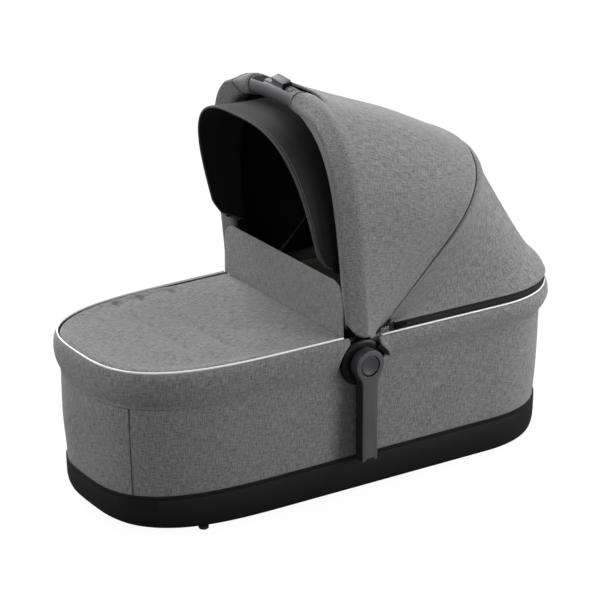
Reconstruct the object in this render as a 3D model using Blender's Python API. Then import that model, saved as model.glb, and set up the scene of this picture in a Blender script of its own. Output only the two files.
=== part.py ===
"""A carrycot: a padded fabric body on a moulded tray, with a folding hood, a carry handle and a sun visor.

Metres, +Z up. +X points to the hood end and -Y is the near side. The origin lies on the ground, midway.
"""

import math

import bmesh
import bpy
from mathutils import Matrix, Vector

# Running gap kept between neighbouring solids
GAP = 0.0003

# The body seen from above, at the piping
BODY_HALF_LENGTH = 0.4195
BODY_HALF_WIDTH = 0.178
BODY_TAPER_SHARE = 0.0318
FOOT_END_LENGTH = 0.278
FOOT_END_POWER = 3.05
HEAD_END_LENGTH = 0.167
HEAD_END_POWER = 2.29
INSET_END_SHARE = 0.5
FOOT_END_STEPS = 12
HEAD_END_STEPS = 10
FOOT_LEAN = 0.0026

# Heights above the ground
FOOT_HEIGHT = 0.005
TRAY_TOP = 0.067
WALL_OVERLAP = 0.012
WALL_BOTTOM = TRAY_TOP - WALL_OVERLAP
REAR_SEAM_HEIGHT = 0.264
WALL_TOP_DROP = 0.003
WALL_TOP = REAR_SEAM_HEIGHT - WALL_TOP_DROP
FRONT_SEAM_RISE = 0.009
FRONT_SEAM_HEIGHT = REAR_SEAM_HEIGHT + FRONT_SEAM_RISE

# Feet
FOOT_RADIUS = 0.008
FOOT_END_SETBACK = 0.1355
FOOT_SIDE_SETBACK = 0.037
FOOT_ROUNDING = 0.001

# Tray and board
TRAY_INSET = 0.0095
TRAY_LIP = 0.0018
TRAY_FLOOR = 0.004
TRAY_ROUNDING = 0.0115
TRAY_SCOOP = 0.020
BOARD_THICKNESS = 0.0032

# The tray's section, from the floor over the rim to the underside, in shares of its rounding:
# sideways from the rim, up from the floor or the ground, and the scoop's part at the foot end
TRAY_INNER_SHARES = ((0.45, 0.55, 0.4), (0.05, 1.7, 0.0))
TRAY_OUTER_SHARES = ((0.08, 1.9, 0.1), (0.3, 0.75, 0.4), (0.6, 0.25, 0.75))

# Fabric wall, stiffening board, lining and mattress
WALL_INSET = 0.0065
WALL_THICKNESS = 0.002
STIFFENER_THICKNESS = 0.0018
RIM_TUBE_RADIUS = 0.0042
LINING_THICKNESS = 0.0024
LINING_FOOT_INSET = 0.0335
MATTRESS_THICKNESS = 0.032
MATTRESS_CROWN = 0.006
MATTRESS_DRAW = 0.004

# The mattress's section from its foot to its crown, in shares: sideways draw, height and crown
MATTRESS_SHARES = (
    (1.0, 0.0, 0.0),
    (0.25, 0.2, 0.0),
    (0.0, 0.5, 0.0),
    (0.25, 0.8, 0.0),
    (2.0, 1.0, 0.0),
    (10.0, 1.0, 0.7),
    (22.0, 1.0, 1.0),
)

# Fabric bands hanging from the seams
BAND_THICKNESS = 0.0027
BAND_BULGE = 0.0045
BAND_HEIGHT = 0.0605
BAND_BULGE_DROP = 0.0175
BAND_HUB_CLEARANCE = 0.0025
FRONT_BAND_END = -0.033
REAR_BAND_END = 0.012
PIPING_RADIUS = 0.0014

# The bands' section below the seam, in shares of the bulge and of its drop
BAND_SHARES = ((0.0, 0.0), (-0.65, 0.3), (-1.0, 1.0), (-0.75, 1.75), (0.15, 2.6))

# Apron
APRON_THICKNESS = 0.003
APRON_REAR = -0.044
APRON_CHANNELS = 3
APRON_CHANNEL_PITCH = 0.053
APRON_CHANNEL_DEPTH = 0.0016
APRON_CHANNEL_SETBACK = 0.1505
APRON_FIRST_CHANNEL = APRON_CHANNEL_SETBACK - BODY_HALF_LENGTH
APRON_CHANNEL_SHARE = 0.208
APRON_STEPS = 22
APRON_STEP_POWER = 1.6
APRON_EDGE_SHARE = 0.93

# Zip around the hood's foot
ZIP_HEIGHT = 0.016
ZIP_THICKNESS = 0.002
ZIP_INSET = 0.0015
ZIP_START = 0.040
SLIDER_LENGTH = 0.012
SLIDER_HEIGHT = 0.010
SLIDER_THICKNESS = 0.003
SLIDER_PULL = 0.016
SLIDER_PLACE = 0.052

# Hub axis and the solids on it; sides are distances from the middle plane
HUB_X = -0.014
HUB_DROP = 0.036
HUB_Z = REAR_SEAM_HEIGHT - HUB_DROP
HUB_RADIUS = 0.041
HUB_FACE_RADIUS = 0.029
HUB_DOME = 0.0085
HUB_STEPS = 28

# The hub's dome, in shares: in from the rim and down from the face
HUB_DOME_SHARES = ((0.0, 0.75), (0.25, 0.35), (0.6, 0.1), (1.0, 0.0))

PIN_RADIUS = 0.004
PIN_HEAD_RADIUS = 0.007
PIN_HEAD_LENGTH = 0.0035
PIN_COVER = 0.00335
EYE_THICKNESS = 0.004
BRACKET_LENGTH = 0.083
BRACKET_HEIGHT = 0.052
BRACKET_DROP = 0.0245
BRACKET_BOTTOM = HUB_Z - BRACKET_DROP
BRACKET_ROUNDING = 0.003

# Side posts with their release buttons
POST_STANDOFF = 0.022
POST_OUTER = BODY_HALF_WIDTH + POST_STANDOFF
POST_THICKNESS = 0.0187
POST_TRAY_CLEARANCE = 0.001
POST_BOTTOM = TRAY_TOP + POST_TRAY_CLEARANCE
POST_HALF_WIDTH = 0.01425
POST_HEAD_RADIUS = 0.0255
POST_SHOULDER_RADIUS = 0.030
POST_EDGE = 0.0012
POST_ARC_STEPS = 6
BUTTON_RADIUS = 0.0165
BUTTON_LENGTH = 0.0088
BUTTON_RECESS = 0.0012
BUTTON_DISH = 0.0008
BUTTON_DISH_SHARES = (0.8, 0.4)
BUTTON_BORE_DEPTH = 0.0155
BUTTON_STEPS = 24
SOCKET_WIDTH = 0.018
SOCKET_THICKNESS = 0.011
SOCKET_DEPTH = 0.060
NOTCH_WIDTH = 0.015
NOTCH_HEIGHT = 0.0045
RIB_WIDTH = 0.020
RIB_CLEARANCE = 0.003
RIB_DROP = 0.004
SPRING_CURLS = 3
SPRING_WIRE = 0.0004
SPRING_RADIUS = 0.009
CURL_POINTS = 10

# Hood bows; angles are turned from +X towards +Z about the hub axis
HANDLE_ANGLE = math.radians(95.6)
HANDLE_SIDE_SETBACK = 0.012
HANDLE_HALF_WIDTH = BODY_HALF_WIDTH - HANDLE_SIDE_SETBACK
HANDLE_TOP = 0.400
HANDLE_SHOULDER = 0.165
HANDLE_POWER = 3.3
HANDLE_TUBE_RADIUS = 0.0108
HANDLE_TUBE_WALL = 0.002
HANDLE_TUBE_START = 0.105
HANDLE_ARM_END = 0.140
HANDLE_ARM_STEP = 0.070
HANDLE_ARM_BEND = 0.042
ARM_HALF_WIDTH = 0.009
EYE_RADIUS = 0.012
EYE_STEPS = 5
EYE_FLAT = math.radians(12.0)
MIDDLE_ANGLE = math.radians(44.0)
MIDDLE_SIDE_SETBACK = 0.0215
MIDDLE_HALF_WIDTH = BODY_HALF_WIDTH - MIDDLE_SIDE_SETBACK
MIDDLE_TOP = 0.3865
MIDDLE_SHOULDER = 0.239
MIDDLE_POWER = 2.27
MIDDLE_STRIP_THICKNESS = 0.003
MIDDLE_STRIP_HALF_WIDTH = 0.006
ARCH_STEPS = 16
TUBE_SIDES = 12
THIN_TUBE_SIDES = 8
PIPING_SIDES = 6

# Carry grip and its release slide
GRIP_HALF_LENGTH = 0.0625
GRIP_RADIUS = 0.0155
GRIP_STEPS = 8
GRIP_SIDES = 20
GRIP_GROOVE_WIDTH = 0.012
GRIP_GROOVE_DEPTH = 0.003
CUFF_RADIUS = 0.0121
CUFF_WIDTH = 0.004
SLIDE_HALF_LENGTH = 0.012
SLIDE_PLACE = -0.006
SLIDE_TRAVEL = 0.008
SLIDE_PAD_HALF_LENGTH = 0.019
SLIDE_PAD_WIDTH = 0.020
SLIDE_PAD_HEIGHT = 0.0065
SLIDE_PAD_RISE = 0.005
SLIDE_STEP = 0.002

# Hood fabric
CANOPY_THICKNESS = 0.003
CANOPY_SIDE_CLEARANCE = 0.0102
CANOPY_HALF_WIDTH = HANDLE_HALF_WIDTH + HANDLE_TUBE_RADIUS + CANOPY_SIDE_CLEARANCE + CANOPY_THICKNESS
CANOPY_TOP_CLEARANCE = 0.0018
CANOPY_TOP = HANDLE_TOP + HANDLE_TUBE_RADIUS + CANOPY_TOP_CLEARANCE + CANOPY_THICKNESS
CANOPY_SHOULDER_DROP = 0.005
CANOPY_SHOULDER = HANDLE_SHOULDER - CANOPY_SHOULDER_DROP
CANOPY_POWER = 3.15
CANOPY_START = 0.045
HEM_REACH = 0.024
HEM_TUCK = 0.005
HEM_SIDE_TUCK = 0.012
HEM_POWER = 3.8
HEM_START = 0.084
HEM_ROW_SHARES = ((1.0, 1.0), (0.5, 0.37), (0.0, 0.0), (-0.3, 0.1))
SEAM_SIDE_CLEARANCE = 0.0035
SEAM_HALF_WIDTH = MIDDLE_HALF_WIDTH + MIDDLE_STRIP_THICKNESS / 2 + SEAM_SIDE_CLEARANCE + CANOPY_THICKNESS
SEAM_TOP_CLEARANCE = 0.006
SEAM_TOP = MIDDLE_TOP + MIDDLE_STRIP_THICKNESS / 2 + SEAM_TOP_CLEARANCE + CANOPY_THICKNESS
SEAM_START = 0.083
FRONT_BULGE = 0.008
FRONT_ROW_SHARES = (0.25, 0.5, 0.7, 0.88)
GRIP_OPENING_CLEARANCE = 0.004
GRIP_OPENING_DEPTH = 0.0705
REAR_ROWS = 3

# Sun visor
VISOR_SIDE_CLEARANCE = 0.0017
VISOR_HALF_WIDTH = HANDLE_HALF_WIDTH - HANDLE_TUBE_RADIUS - VISOR_SIDE_CLEARANCE
VISOR_TUBE_CLEARANCE = 0.0102
VISOR_REAR_TOP = HANDLE_TOP - HANDLE_TUBE_RADIUS - VISOR_TUBE_CLEARANCE
VISOR_FRONT_RISE = 0.015
VISOR_TOP = VISOR_REAR_TOP + VISOR_FRONT_RISE
VISOR_SHOULDER_RISE = 0.040
VISOR_SHOULDER = HANDLE_SHOULDER + VISOR_SHOULDER_RISE
VISOR_POWER = 3.0
VISOR_REAR_POWER = 2.5
VISOR_FRONT_ANGLE = math.radians(104.5)
VISOR_FRONT_REACH = 0.020
VISOR_FRONT_START = 0.180
VISOR_REAR_ANGLE = math.radians(94.0)
VISOR_REAR_START = 0.146
VISOR_THICKNESS = 0.0035
VISOR_PIVOT_SETBACK = 0.033
VISOR_PIVOT_X = HUB_X - VISOR_PIVOT_SETBACK
VISOR_PIVOT_RISE = 0.157
VISOR_PIVOT_Z = HUB_Z + VISOR_PIVOT_RISE
VISOR_STUD_RADIUS = 0.003
VISOR_CLIP_LENGTH = 0.013
VISOR_CLIP_HEIGHT = 0.018
VISOR_CLIP_THICKNESS = 0.007
VISOR_ROWS = 3

# Wind flap
FLAP_SETBACK = 0.004
FLAP_X = APRON_REAR - FLAP_SETBACK
FLAP_BASE_RISE = 0.0035
FLAP_BASE = FRONT_SEAM_HEIGHT + FLAP_BASE_RISE
FLAP_HEIGHT = 0.0855
FLAP_HEM = 0.0032
FLAP_THICKNESS = 0.005
FLAP_SIDE_CLEARANCE = 0.0035
FLAP_CORNER = 0.028
FLAP_CORNER_STEPS = 5

# Turning and cutting
TURN_STEPS = 24
CUT_OVERRUN = 0.004
SHARP_ANGLE = math.radians(40.0)

# Finishes: colour, roughness, metallic
FINISHES = {
    "grey_fabric": ((0.19, 0.19, 0.19), 0.95, 0.0),
    "black_fabric": ((0.02, 0.02, 0.022), 0.85, 0.0),
    "lining_fabric": ((0.16, 0.16, 0.14), 0.95, 0.0),
    "mattress_fabric": ((0.6, 0.6, 0.58), 0.95, 0.0),
    "tray_plastic": ((0.012, 0.012, 0.012), 0.55, 0.0),
    "post_plastic": ((0.065, 0.065, 0.07), 0.5, 0.0),
    "hub_plastic": ((0.018, 0.018, 0.02), 0.3, 0.0),
    "board_plastic": ((0.3, 0.3, 0.3), 0.7, 0.0),
    "foot_rubber": ((0.02, 0.02, 0.02), 0.9, 0.0),
    "piping_white": ((0.85, 0.85, 0.85), 0.35, 0.0),
    "steel": ((0.5, 0.5, 0.5), 0.35, 1.0),
    "aluminium": ((0.6, 0.6, 0.62), 0.4, 1.0),
    "clear_plastic": ((0.6, 0.6, 0.6), 0.2, 0.0),
}


def finish(name):
    """The Principled material of that name, made the first time it is asked for."""
    if name in bpy.data.materials:
        return bpy.data.materials[name]
    colour, roughness, metallic = FINISHES[name]
    made = bpy.data.materials.new(name)
    made.use_nodes = True
    shader = made.node_tree.nodes["Principled BSDF"]
    shader.inputs["Base Color"].default_value = (*colour, 1.0)
    shader.inputs["Roughness"].default_value = roughness
    shader.inputs["Metallic"].default_value = metallic
    made.diffuse_color = (*colour, 1.0)
    return made


def pivot(name, place, parent=None):
    """An empty on a joint's axis, which carries what turns or slides there."""
    empty = bpy.data.objects.new(name, None)
    bpy.context.scene.collection.objects.link(empty)
    empty.parent = parent
    empty.location = Vector(place) - parent_place(parent)
    return empty


def parent_place(parent):
    """World place of an unturned chain of empties."""
    total = Vector()
    while parent is not None:
        total += parent.location
        parent = parent.parent
    return total


def piece(name, bm, finish_name, parent=None):
    """Turn a bmesh in world places into one named object, parented without moving."""
    bmesh.ops.remove_doubles(bm, verts=bm.verts, dist=GAP / 100)
    bmesh.ops.recalc_face_normals(bm, faces=bm.faces)
    place = parent_place(parent)
    bmesh.ops.translate(bm, verts=bm.verts, vec=-place)
    mesh = bpy.data.meshes.new(name)
    bm.to_mesh(mesh)
    bm.free()
    mesh.materials.append(finish(finish_name))
    mesh.shade_smooth()
    mesh.set_sharp_from_angle(angle=SHARP_ANGLE)
    made = bpy.data.objects.new(name, mesh)
    bpy.context.scene.collection.objects.link(made)
    made.parent = parent
    return made


def skin(rows, around=True, along=False):
    """A closed body through rows of points; around closes each row, along joins the last to the first."""
    bm = bmesh.new()
    grid = [[bm.verts.new(point) for point in row] for row in rows]
    count = len(rows[0])
    row_total = len(rows)
    for r in range(row_total if along else row_total - 1):
        lower = grid[r]
        upper = grid[(r + 1) % row_total]
        for k in range(count if around else count - 1):
            n = (k + 1) % count
            bm.faces.new((lower[k], lower[n], upper[n], upper[k]))
    if not along:
        bm.faces.new(grid[0])
        bm.faces.new(grid[-1])
    if not around:
        bm.faces.new([row[0] for row in grid])
        bm.faces.new([row[-1] for row in grid])
    return bm


def sheet(rows):
    """An open surface through rows of points, for a Solidify modifier to thicken."""
    bm = bmesh.new()
    grid = [[bm.verts.new(point) for point in row] for row in rows]
    for lower, upper in zip(grid, grid[1:]):
        for k in range(len(lower) - 1):
            bm.faces.new((lower[k], lower[k + 1], upper[k + 1], upper[k]))
    return bm


def thicken(made, thickness):
    """Give an open surface its thickness, inwards."""
    modifier = made.modifiers.new("thickness", "SOLIDIFY")
    modifier.thickness = thickness
    modifier.offset = -1.0
    modifier.use_even_offset = True


def block(lower, upper, rounding=0.0, segments=2):
    """A box between two corners, with all its edges rounded."""
    bm = bmesh.new()
    bmesh.ops.create_cube(bm, size=1.0)
    low, high = Vector(lower), Vector(upper)
    bmesh.ops.scale(bm, vec=high - low, verts=bm.verts)
    bmesh.ops.translate(bm, vec=(low + high) / 2, verts=bm.verts)
    if rounding > 0:
        edges = bm.edges[:]
        bmesh.ops.bevel(bm, geom=edges, offset=rounding, segments=segments, profile=0.5, affect="EDGES")
    return bm


def circle(radius, side, centre, steps):
    """Points of a circle around an axis along Y, at a distance along it."""
    turn = math.tau / steps
    return [
        Vector((centre[0] + radius * math.cos(k * turn), side, centre[1] + radius * math.sin(k * turn)))
        for k in range(steps)
    ]


def turned(profile, centre, steps=TURN_STEPS, bored=False):
    """A body turned about an axis along Y from (radius, side) pairs; bored joins the last to the first."""
    rows = [circle(radius, side, centre, steps) for radius, side in profile]
    return skin(rows, around=True, along=bored)


def cut(made, cutter_bm, name):
    """Take the cutter's shape out of a body with a Boolean modifier."""
    tool = combine_tool(cutter_bm, name)
    modifier = made.modifiers.new(name, "BOOLEAN")
    modifier.operation = "DIFFERENCE"
    modifier.solver = "EXACT"
    modifier.object = tool


def join(made, added_bm, name):
    """Fuse another shape with a body."""
    tool = combine_tool(added_bm, name)
    modifier = made.modifiers.new(name, "BOOLEAN")
    modifier.operation = "UNION"
    modifier.solver = "EXACT"
    modifier.object = tool


def combine_tool(bm, name):
    """A hidden object that a Boolean modifier uses."""
    tool = piece(name, bm, "steel")
    tool.hide_render = True
    tool.display_type = "WIRE"
    return tool


def cross_bore(name, radius, centre, reach):
    """A cylinder along Y right through both sides, for a cut."""
    return combine_tool(turned([(radius, -reach), (radius, reach)], centre), name)


def use_cutter(made, tool):
    """Cut a body with a tool that other bodies share."""
    modifier = made.modifiers.new(tool.name, "BOOLEAN")
    modifier.operation = "DIFFERENCE"
    modifier.solver = "EXACT"
    modifier.object = tool


def end_points(inset, foot, scoop=0.0):
    """(x, half width) from an end's tip to its shoulder, on the outline moved in by inset and scoop."""
    drawn = scoop if foot else 0.0
    length = (FOOT_END_LENGTH if foot else HEAD_END_LENGTH) - INSET_END_SHARE * inset - drawn
    power = FOOT_END_POWER if foot else HEAD_END_POWER
    steps = FOOT_END_STEPS if foot else HEAD_END_STEPS
    sign = -1 if foot else 1
    half_length = BODY_HALF_LENGTH - inset - drawn
    points = []
    for k in range(steps + 1):
        angle = math.pi / 2 * k / steps
        x = sign * (half_length - length + length * max(math.cos(angle), 0.0) ** (2 / power))
        half = (BODY_HALF_WIDTH - inset) * math.sin(angle) ** (2 / power)
        points.append((x, half * (1 + BODY_TAPER_SHARE * x / BODY_HALF_LENGTH)))
    return points


def lean(height):
    """How far the outline has moved towards the foot end, below the seams."""
    share = (WALL_TOP - height) / (WALL_TOP - REAR_SEAM_HEIGHT + BAND_HEIGHT)
    return -FOOT_LEAN * min(max(share, 0.0), 1.0)


def half_width(x, inset):
    """Half width of the body's straight sides at x."""
    return (BODY_HALF_WIDTH - inset) * (1 + BODY_TAPER_SHARE * x / BODY_HALF_LENGTH)


def loop(inset, height, scoop=0.0):
    """The closed outline at a height, moved in by inset, and by scoop at the foot end."""
    side = end_points(inset, True, scoop) + end_points(inset, False)[::-1]
    shift = lean(height)
    near = [Vector((x + shift, -half, height)) for x, half in side]
    far = [Vector((x + shift, half, height)) for x, half in side[1:-1]]
    return near + far[::-1]


def horseshoe(inset, height, end_x, foot):
    """The outline's stretch round one end, from end_x on the near side to end_x on the far side."""
    shift = lean(height)
    tip_first = [(x + shift, half) for x, half in end_points(inset, foot)]
    side = [(end_x, half_width(end_x - shift, inset))] + tip_first[::-1]
    near = [Vector((x, -half, height)) for x, half in side]
    far = [Vector((x, half, height)) for x, half in side[:-1]]
    return near + far[::-1]


def wall_inset(height):
    """Inset of the fabric wall's outer face, which leans in towards the tray."""
    band_foot = REAR_SEAM_HEIGHT - BAND_HEIGHT
    share = min(max((band_foot - height) / (band_foot - TRAY_TOP), 0.0), 1.0)
    return WALL_INSET + share * (TRAY_INSET + TRAY_LIP + 2 * GAP - WALL_INSET)


def wall_levels():
    """Heights at which the fabric wall has a row of points."""
    band_foot = REAR_SEAM_HEIGHT - BAND_HEIGHT
    return [WALL_BOTTOM, TRAY_TOP, (TRAY_TOP + band_foot) / 2, band_foot, WALL_TOP]


def ring_wall(outer_offset, thickness):
    """A closed wall that follows the fabric wall, further in by outer_offset."""
    outer = [loop(wall_inset(z) + outer_offset, z) for z in wall_levels()]
    inner = [loop(wall_inset(z) + outer_offset + thickness, z) for z in wall_levels()]
    return skin(outer + inner[::-1], around=True, along=True)


def hub_point(angle, along, side, reach=0.0):
    """A point in a bow's plane: along from the hub axis, at a side, moved forward of the plane by reach."""
    x = HUB_X + along * math.cos(angle) - reach * math.sin(angle)
    z = HUB_Z + along * math.sin(angle) + reach * math.cos(angle)
    return Vector((x, side, z))


def arch(half_width_, shoulder, top, power, start, steps=ARCH_STEPS):
    """(side, along) pairs from the near leg's start over the top to the far leg's start."""
    pairs = [(-half_width_, start)]
    for k in range(steps + 1):
        angle = math.pi * k / steps
        across = math.copysign(abs(math.cos(angle)) ** (2 / power), math.cos(angle))
        rise = math.sin(angle) ** (2 / power) if 0 < k < steps else 0.0
        pairs.append((-half_width_ * across, shoulder + (top - shoulder) * rise))
    pairs.append((half_width_, start))
    return pairs


def swept_ring(point, normal, binormal, radii, sides):
    """An ellipse of points around a path point."""
    turn = math.tau / sides
    return [
        point + normal * (radii[0] * math.cos(k * turn)) + binormal * (radii[1] * math.sin(k * turn))
        for k in range(sides)
    ]


def sweep(path, binormal, radii, sides, bore=None, ends=(None, None)):
    """A rod along a flat path in the plane of that normal; bore hollows it, ends turn its end faces."""
    outer, inner = [], []
    for k, point in enumerate(path):
        before = path[max(k - 1, 0)]
        after = path[min(k + 1, len(path) - 1)]
        direction = (after - before).normalized()
        if k == 0 and ends[0]:
            direction = ends[0]
        if k == len(path) - 1 and ends[1]:
            direction = ends[1]
        normal = binormal.cross(direction)
        outer.append(swept_ring(point, normal, binormal, radii, sides))
        if bore:
            inner.append(swept_ring(point, normal, binormal, bore, sides))
    if bore:
        return skin(outer + inner[::-1], around=True, along=True)
    return skin(outer)


def both_sides():
    """Name endings and signs of the two sides; the right one is at -Y."""
    return (("right", -1), ("left", 1))


def make_feet():
    """Rubber feet under the tray's corners."""
    section = (
        (FOOT_RADIUS - FOOT_ROUNDING, 0),
        (FOOT_RADIUS, FOOT_ROUNDING),
        (FOOT_RADIUS, FOOT_HEIGHT - GAP),
    )
    for end, along in (("foot", -1), ("head", 1)):
        for name, sign in both_sides():
            out = BODY_HALF_WIDTH - FOOT_SIDE_SETBACK
            centre = Vector((along * (BODY_HALF_LENGTH - FOOT_END_SETBACK), sign * out, 0))
            rows = []
            for radius, z in section:
                flat = circle(radius, 0, (0, 0), BUTTON_STEPS)
                rows.append([centre + Vector((point.x, point.z, z)) for point in flat])
            piece("rubber_foot_" + end + "_end_" + name, skin(rows), "foot_rubber")


def make_tray():
    """The moulded tray and the board that lies in it."""
    floor = FOOT_HEIGHT + TRAY_FLOOR
    low_inset = TRAY_INSET + TRAY_ROUNDING
    inner = TRAY_INSET + TRAY_LIP
    levels = [(low_inset + TRAY_FLOOR, floor, 1)]
    for side, rise, scoop in TRAY_INNER_SHARES:
        levels.append((inner + side * TRAY_ROUNDING, floor + rise * TRAY_ROUNDING, scoop))
    levels += [(inner, TRAY_TOP, 0), (TRAY_INSET, TRAY_TOP, 0)]
    for side, rise, scoop in TRAY_OUTER_SHARES:
        levels.append((TRAY_INSET + side * TRAY_ROUNDING, FOOT_HEIGHT + rise * TRAY_ROUNDING, scoop))
    levels.append((low_inset, FOOT_HEIGHT, 1))
    tray = skin([loop(inset, z, scoop * TRAY_SCOOP) for inset, z, scoop in levels])
    piece("base_tray", tray, "tray_plastic")
    board_inset = low_inset + TRAY_FLOOR + GAP
    bottom = floor + GAP
    heights = (bottom, bottom + BOARD_THICKNESS)
    board = [loop(board_inset, height, TRAY_SCOOP) for height in heights]
    piece("base_board", skin(board), "board_plastic")
    return bottom + BOARD_THICKNESS


def make_walls(board_top):
    """The fabric wall, its stiffening board, the rim tubes and the lining."""
    reach = BODY_HALF_WIDTH + CUT_OVERRUN
    bore = cross_bore("pin_way", PIN_RADIUS + GAP, (HUB_X, HUB_Z), reach)
    use_cutter(piece("side_wall", ring_wall(0.0, WALL_THICKNESS), "grey_fabric"), bore)
    stiffener = WALL_THICKNESS + GAP
    use_cutter(piece("wall_board", ring_wall(stiffener, STIFFENER_THICKNESS), "board_plastic"), bore)
    tube_inset = WALL_INSET + stiffener + STIFFENER_THICKNESS + GAP + RIM_TUBE_RADIUS
    lining_inset = tube_inset + RIM_TUBE_RADIUS + GAP
    bottom = board_top + GAP
    flange_low = WALL_TOP + GAP
    levels = [
        (LINING_FOOT_INSET, bottom),
        (lining_inset + 2 * LINING_THICKNESS, TRAY_TOP),
        (lining_inset, WALL_TOP - 2 * RIM_TUBE_RADIUS),
        (lining_inset, flange_low),
        (WALL_INSET, flange_low),
        (WALL_INSET, flange_low + LINING_THICKNESS),
        (lining_inset + LINING_THICKNESS, flange_low + LINING_THICKNESS),
        (lining_inset + LINING_THICKNESS, WALL_TOP - 2 * RIM_TUBE_RADIUS),
        (lining_inset + 3 * LINING_THICKNESS, TRAY_TOP),
        (LINING_FOOT_INSET + LINING_THICKNESS, bottom),
    ]
    lining = skin([loop(inset, z) for inset, z in levels], around=True, along=True)
    use_cutter(piece("inner_lining", lining, "lining_fabric"), bore)
    tube_height = BRACKET_BOTTOM + BRACKET_HEIGHT - RIM_TUBE_RADIUS - BRACKET_ROUNDING
    half_bracket = BRACKET_LENGTH / 2 + GAP
    ends = (("front", HUB_X - half_bracket, True), ("rear", HUB_X + half_bracket, False))
    for name, end_x, foot in ends:
        path = horseshoe(tube_inset, tube_height, end_x, foot)
        radii = (RIM_TUBE_RADIUS, RIM_TUBE_RADIUS)
        piece("rim_tube_" + name, sweep(path, Vector((0, 0, 1)), radii, THIN_TUBE_SIDES), "steel")
    return lining_inset


def make_mattress(board_top):
    """A crowned mattress with drawn-in sides."""
    bottom = board_top + GAP
    inset = LINING_FOOT_INSET + LINING_THICKNESS + GAP
    rows = []
    for draw, rise, crown in MATTRESS_SHARES:
        height = bottom + rise * MATTRESS_THICKNESS + crown * MATTRESS_CROWN
        rows.append(loop(inset + draw * MATTRESS_DRAW, height))
    piece("mattress", skin(rows), "mattress_fabric")


def make_bands():
    """The fabric bands round both ends, cut back round the hubs, and their piping."""
    reach = BODY_HALF_WIDTH + BAND_BULGE + CUT_OVERRUN + CUT_OVERRUN
    hub_way = cross_bore("hub_way", HUB_RADIUS + BAND_HUB_CLEARANCE, (HUB_X, HUB_Z), reach)
    rows = (
        ("front", FRONT_SEAM_HEIGHT, FRONT_BAND_END, True),
        ("rear", REAR_SEAM_HEIGHT, REAR_BAND_END, False),
    )
    for name, seam, end_x, foot in rows:
        hem = wall_inset(seam - BAND_HEIGHT) - GAP
        outer = [(side * BAND_BULGE, seam - drop * BAND_BULGE_DROP) for side, drop in BAND_SHARES]
        outer.append((hem - BAND_THICKNESS, seam - BAND_HEIGHT))
        inner = [(inset + BAND_THICKNESS, z) for inset, z in outer]
        profile = outer + inner[::-1]
        band = skin([horseshoe(i, z, end_x, foot) for i, z in profile], around=False, along=True)
        use_cutter(piece(name + "_band", band, "grey_fabric"), hub_way)
        path = horseshoe(PIPING_RADIUS, seam + GAP + PIPING_RADIUS, end_x, foot)
        radii = (PIPING_RADIUS, PIPING_RADIUS)
        piece(name + "_piping", sweep(path, Vector((0, 0, 1)), radii, PIPING_SIDES), "piping_white")


def apron_drop(x):
    """How far the apron's top dips at x: into its sewn channels."""
    drop = 0.0
    for k in range(APRON_CHANNELS):
        away = abs(x - APRON_FIRST_CHANNEL - k * APRON_CHANNEL_PITCH)
        drop = max(drop, APRON_CHANNEL_DEPTH * (1 - away / (APRON_CHANNEL_SHARE * APRON_CHANNEL_PITCH)))
    return drop


def make_apron():
    """The apron over the foot end: a flat padded panel with sewn channels across."""
    inset = BAND_THICKNESS + GAP
    top = FRONT_SEAM_HEIGHT - GAP
    tip = -(BODY_HALF_LENGTH - inset)
    places = [APRON_FIRST_CHANNEL + k * APRON_CHANNEL_PITCH for k in range(APRON_CHANNELS)]
    for k in range(1, APRON_STEPS + 1):
        share = (k / APRON_STEPS) ** APRON_STEP_POWER
        places.append(tip + (APRON_REAR - tip) * share)
    places = sorted(places)
    length = FOOT_END_LENGTH - INSET_END_SHARE * inset
    rows = []
    for x in places:
        into = max((tip + length - x) / length, 0.0)
        full = half_width(x, inset)
        half = full * (1 - into**FOOT_END_POWER) ** (1 / FOOT_END_POWER)
        low = top - APRON_THICKNESS
        high = top - apron_drop(x)
        shares = (-1.0, -APRON_EDGE_SHARE, 0.0, APRON_EDGE_SHARE, 1.0)
        row = [Vector((x, half * s, high if abs(s) < 1 else top - APRON_CHANNEL_DEPTH)) for s in shares]
        row += [Vector((x, half * s, low)) for s in shares[::-1]]
        rows.append(row)
    piece("apron", skin(rows), "grey_fabric")


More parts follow.
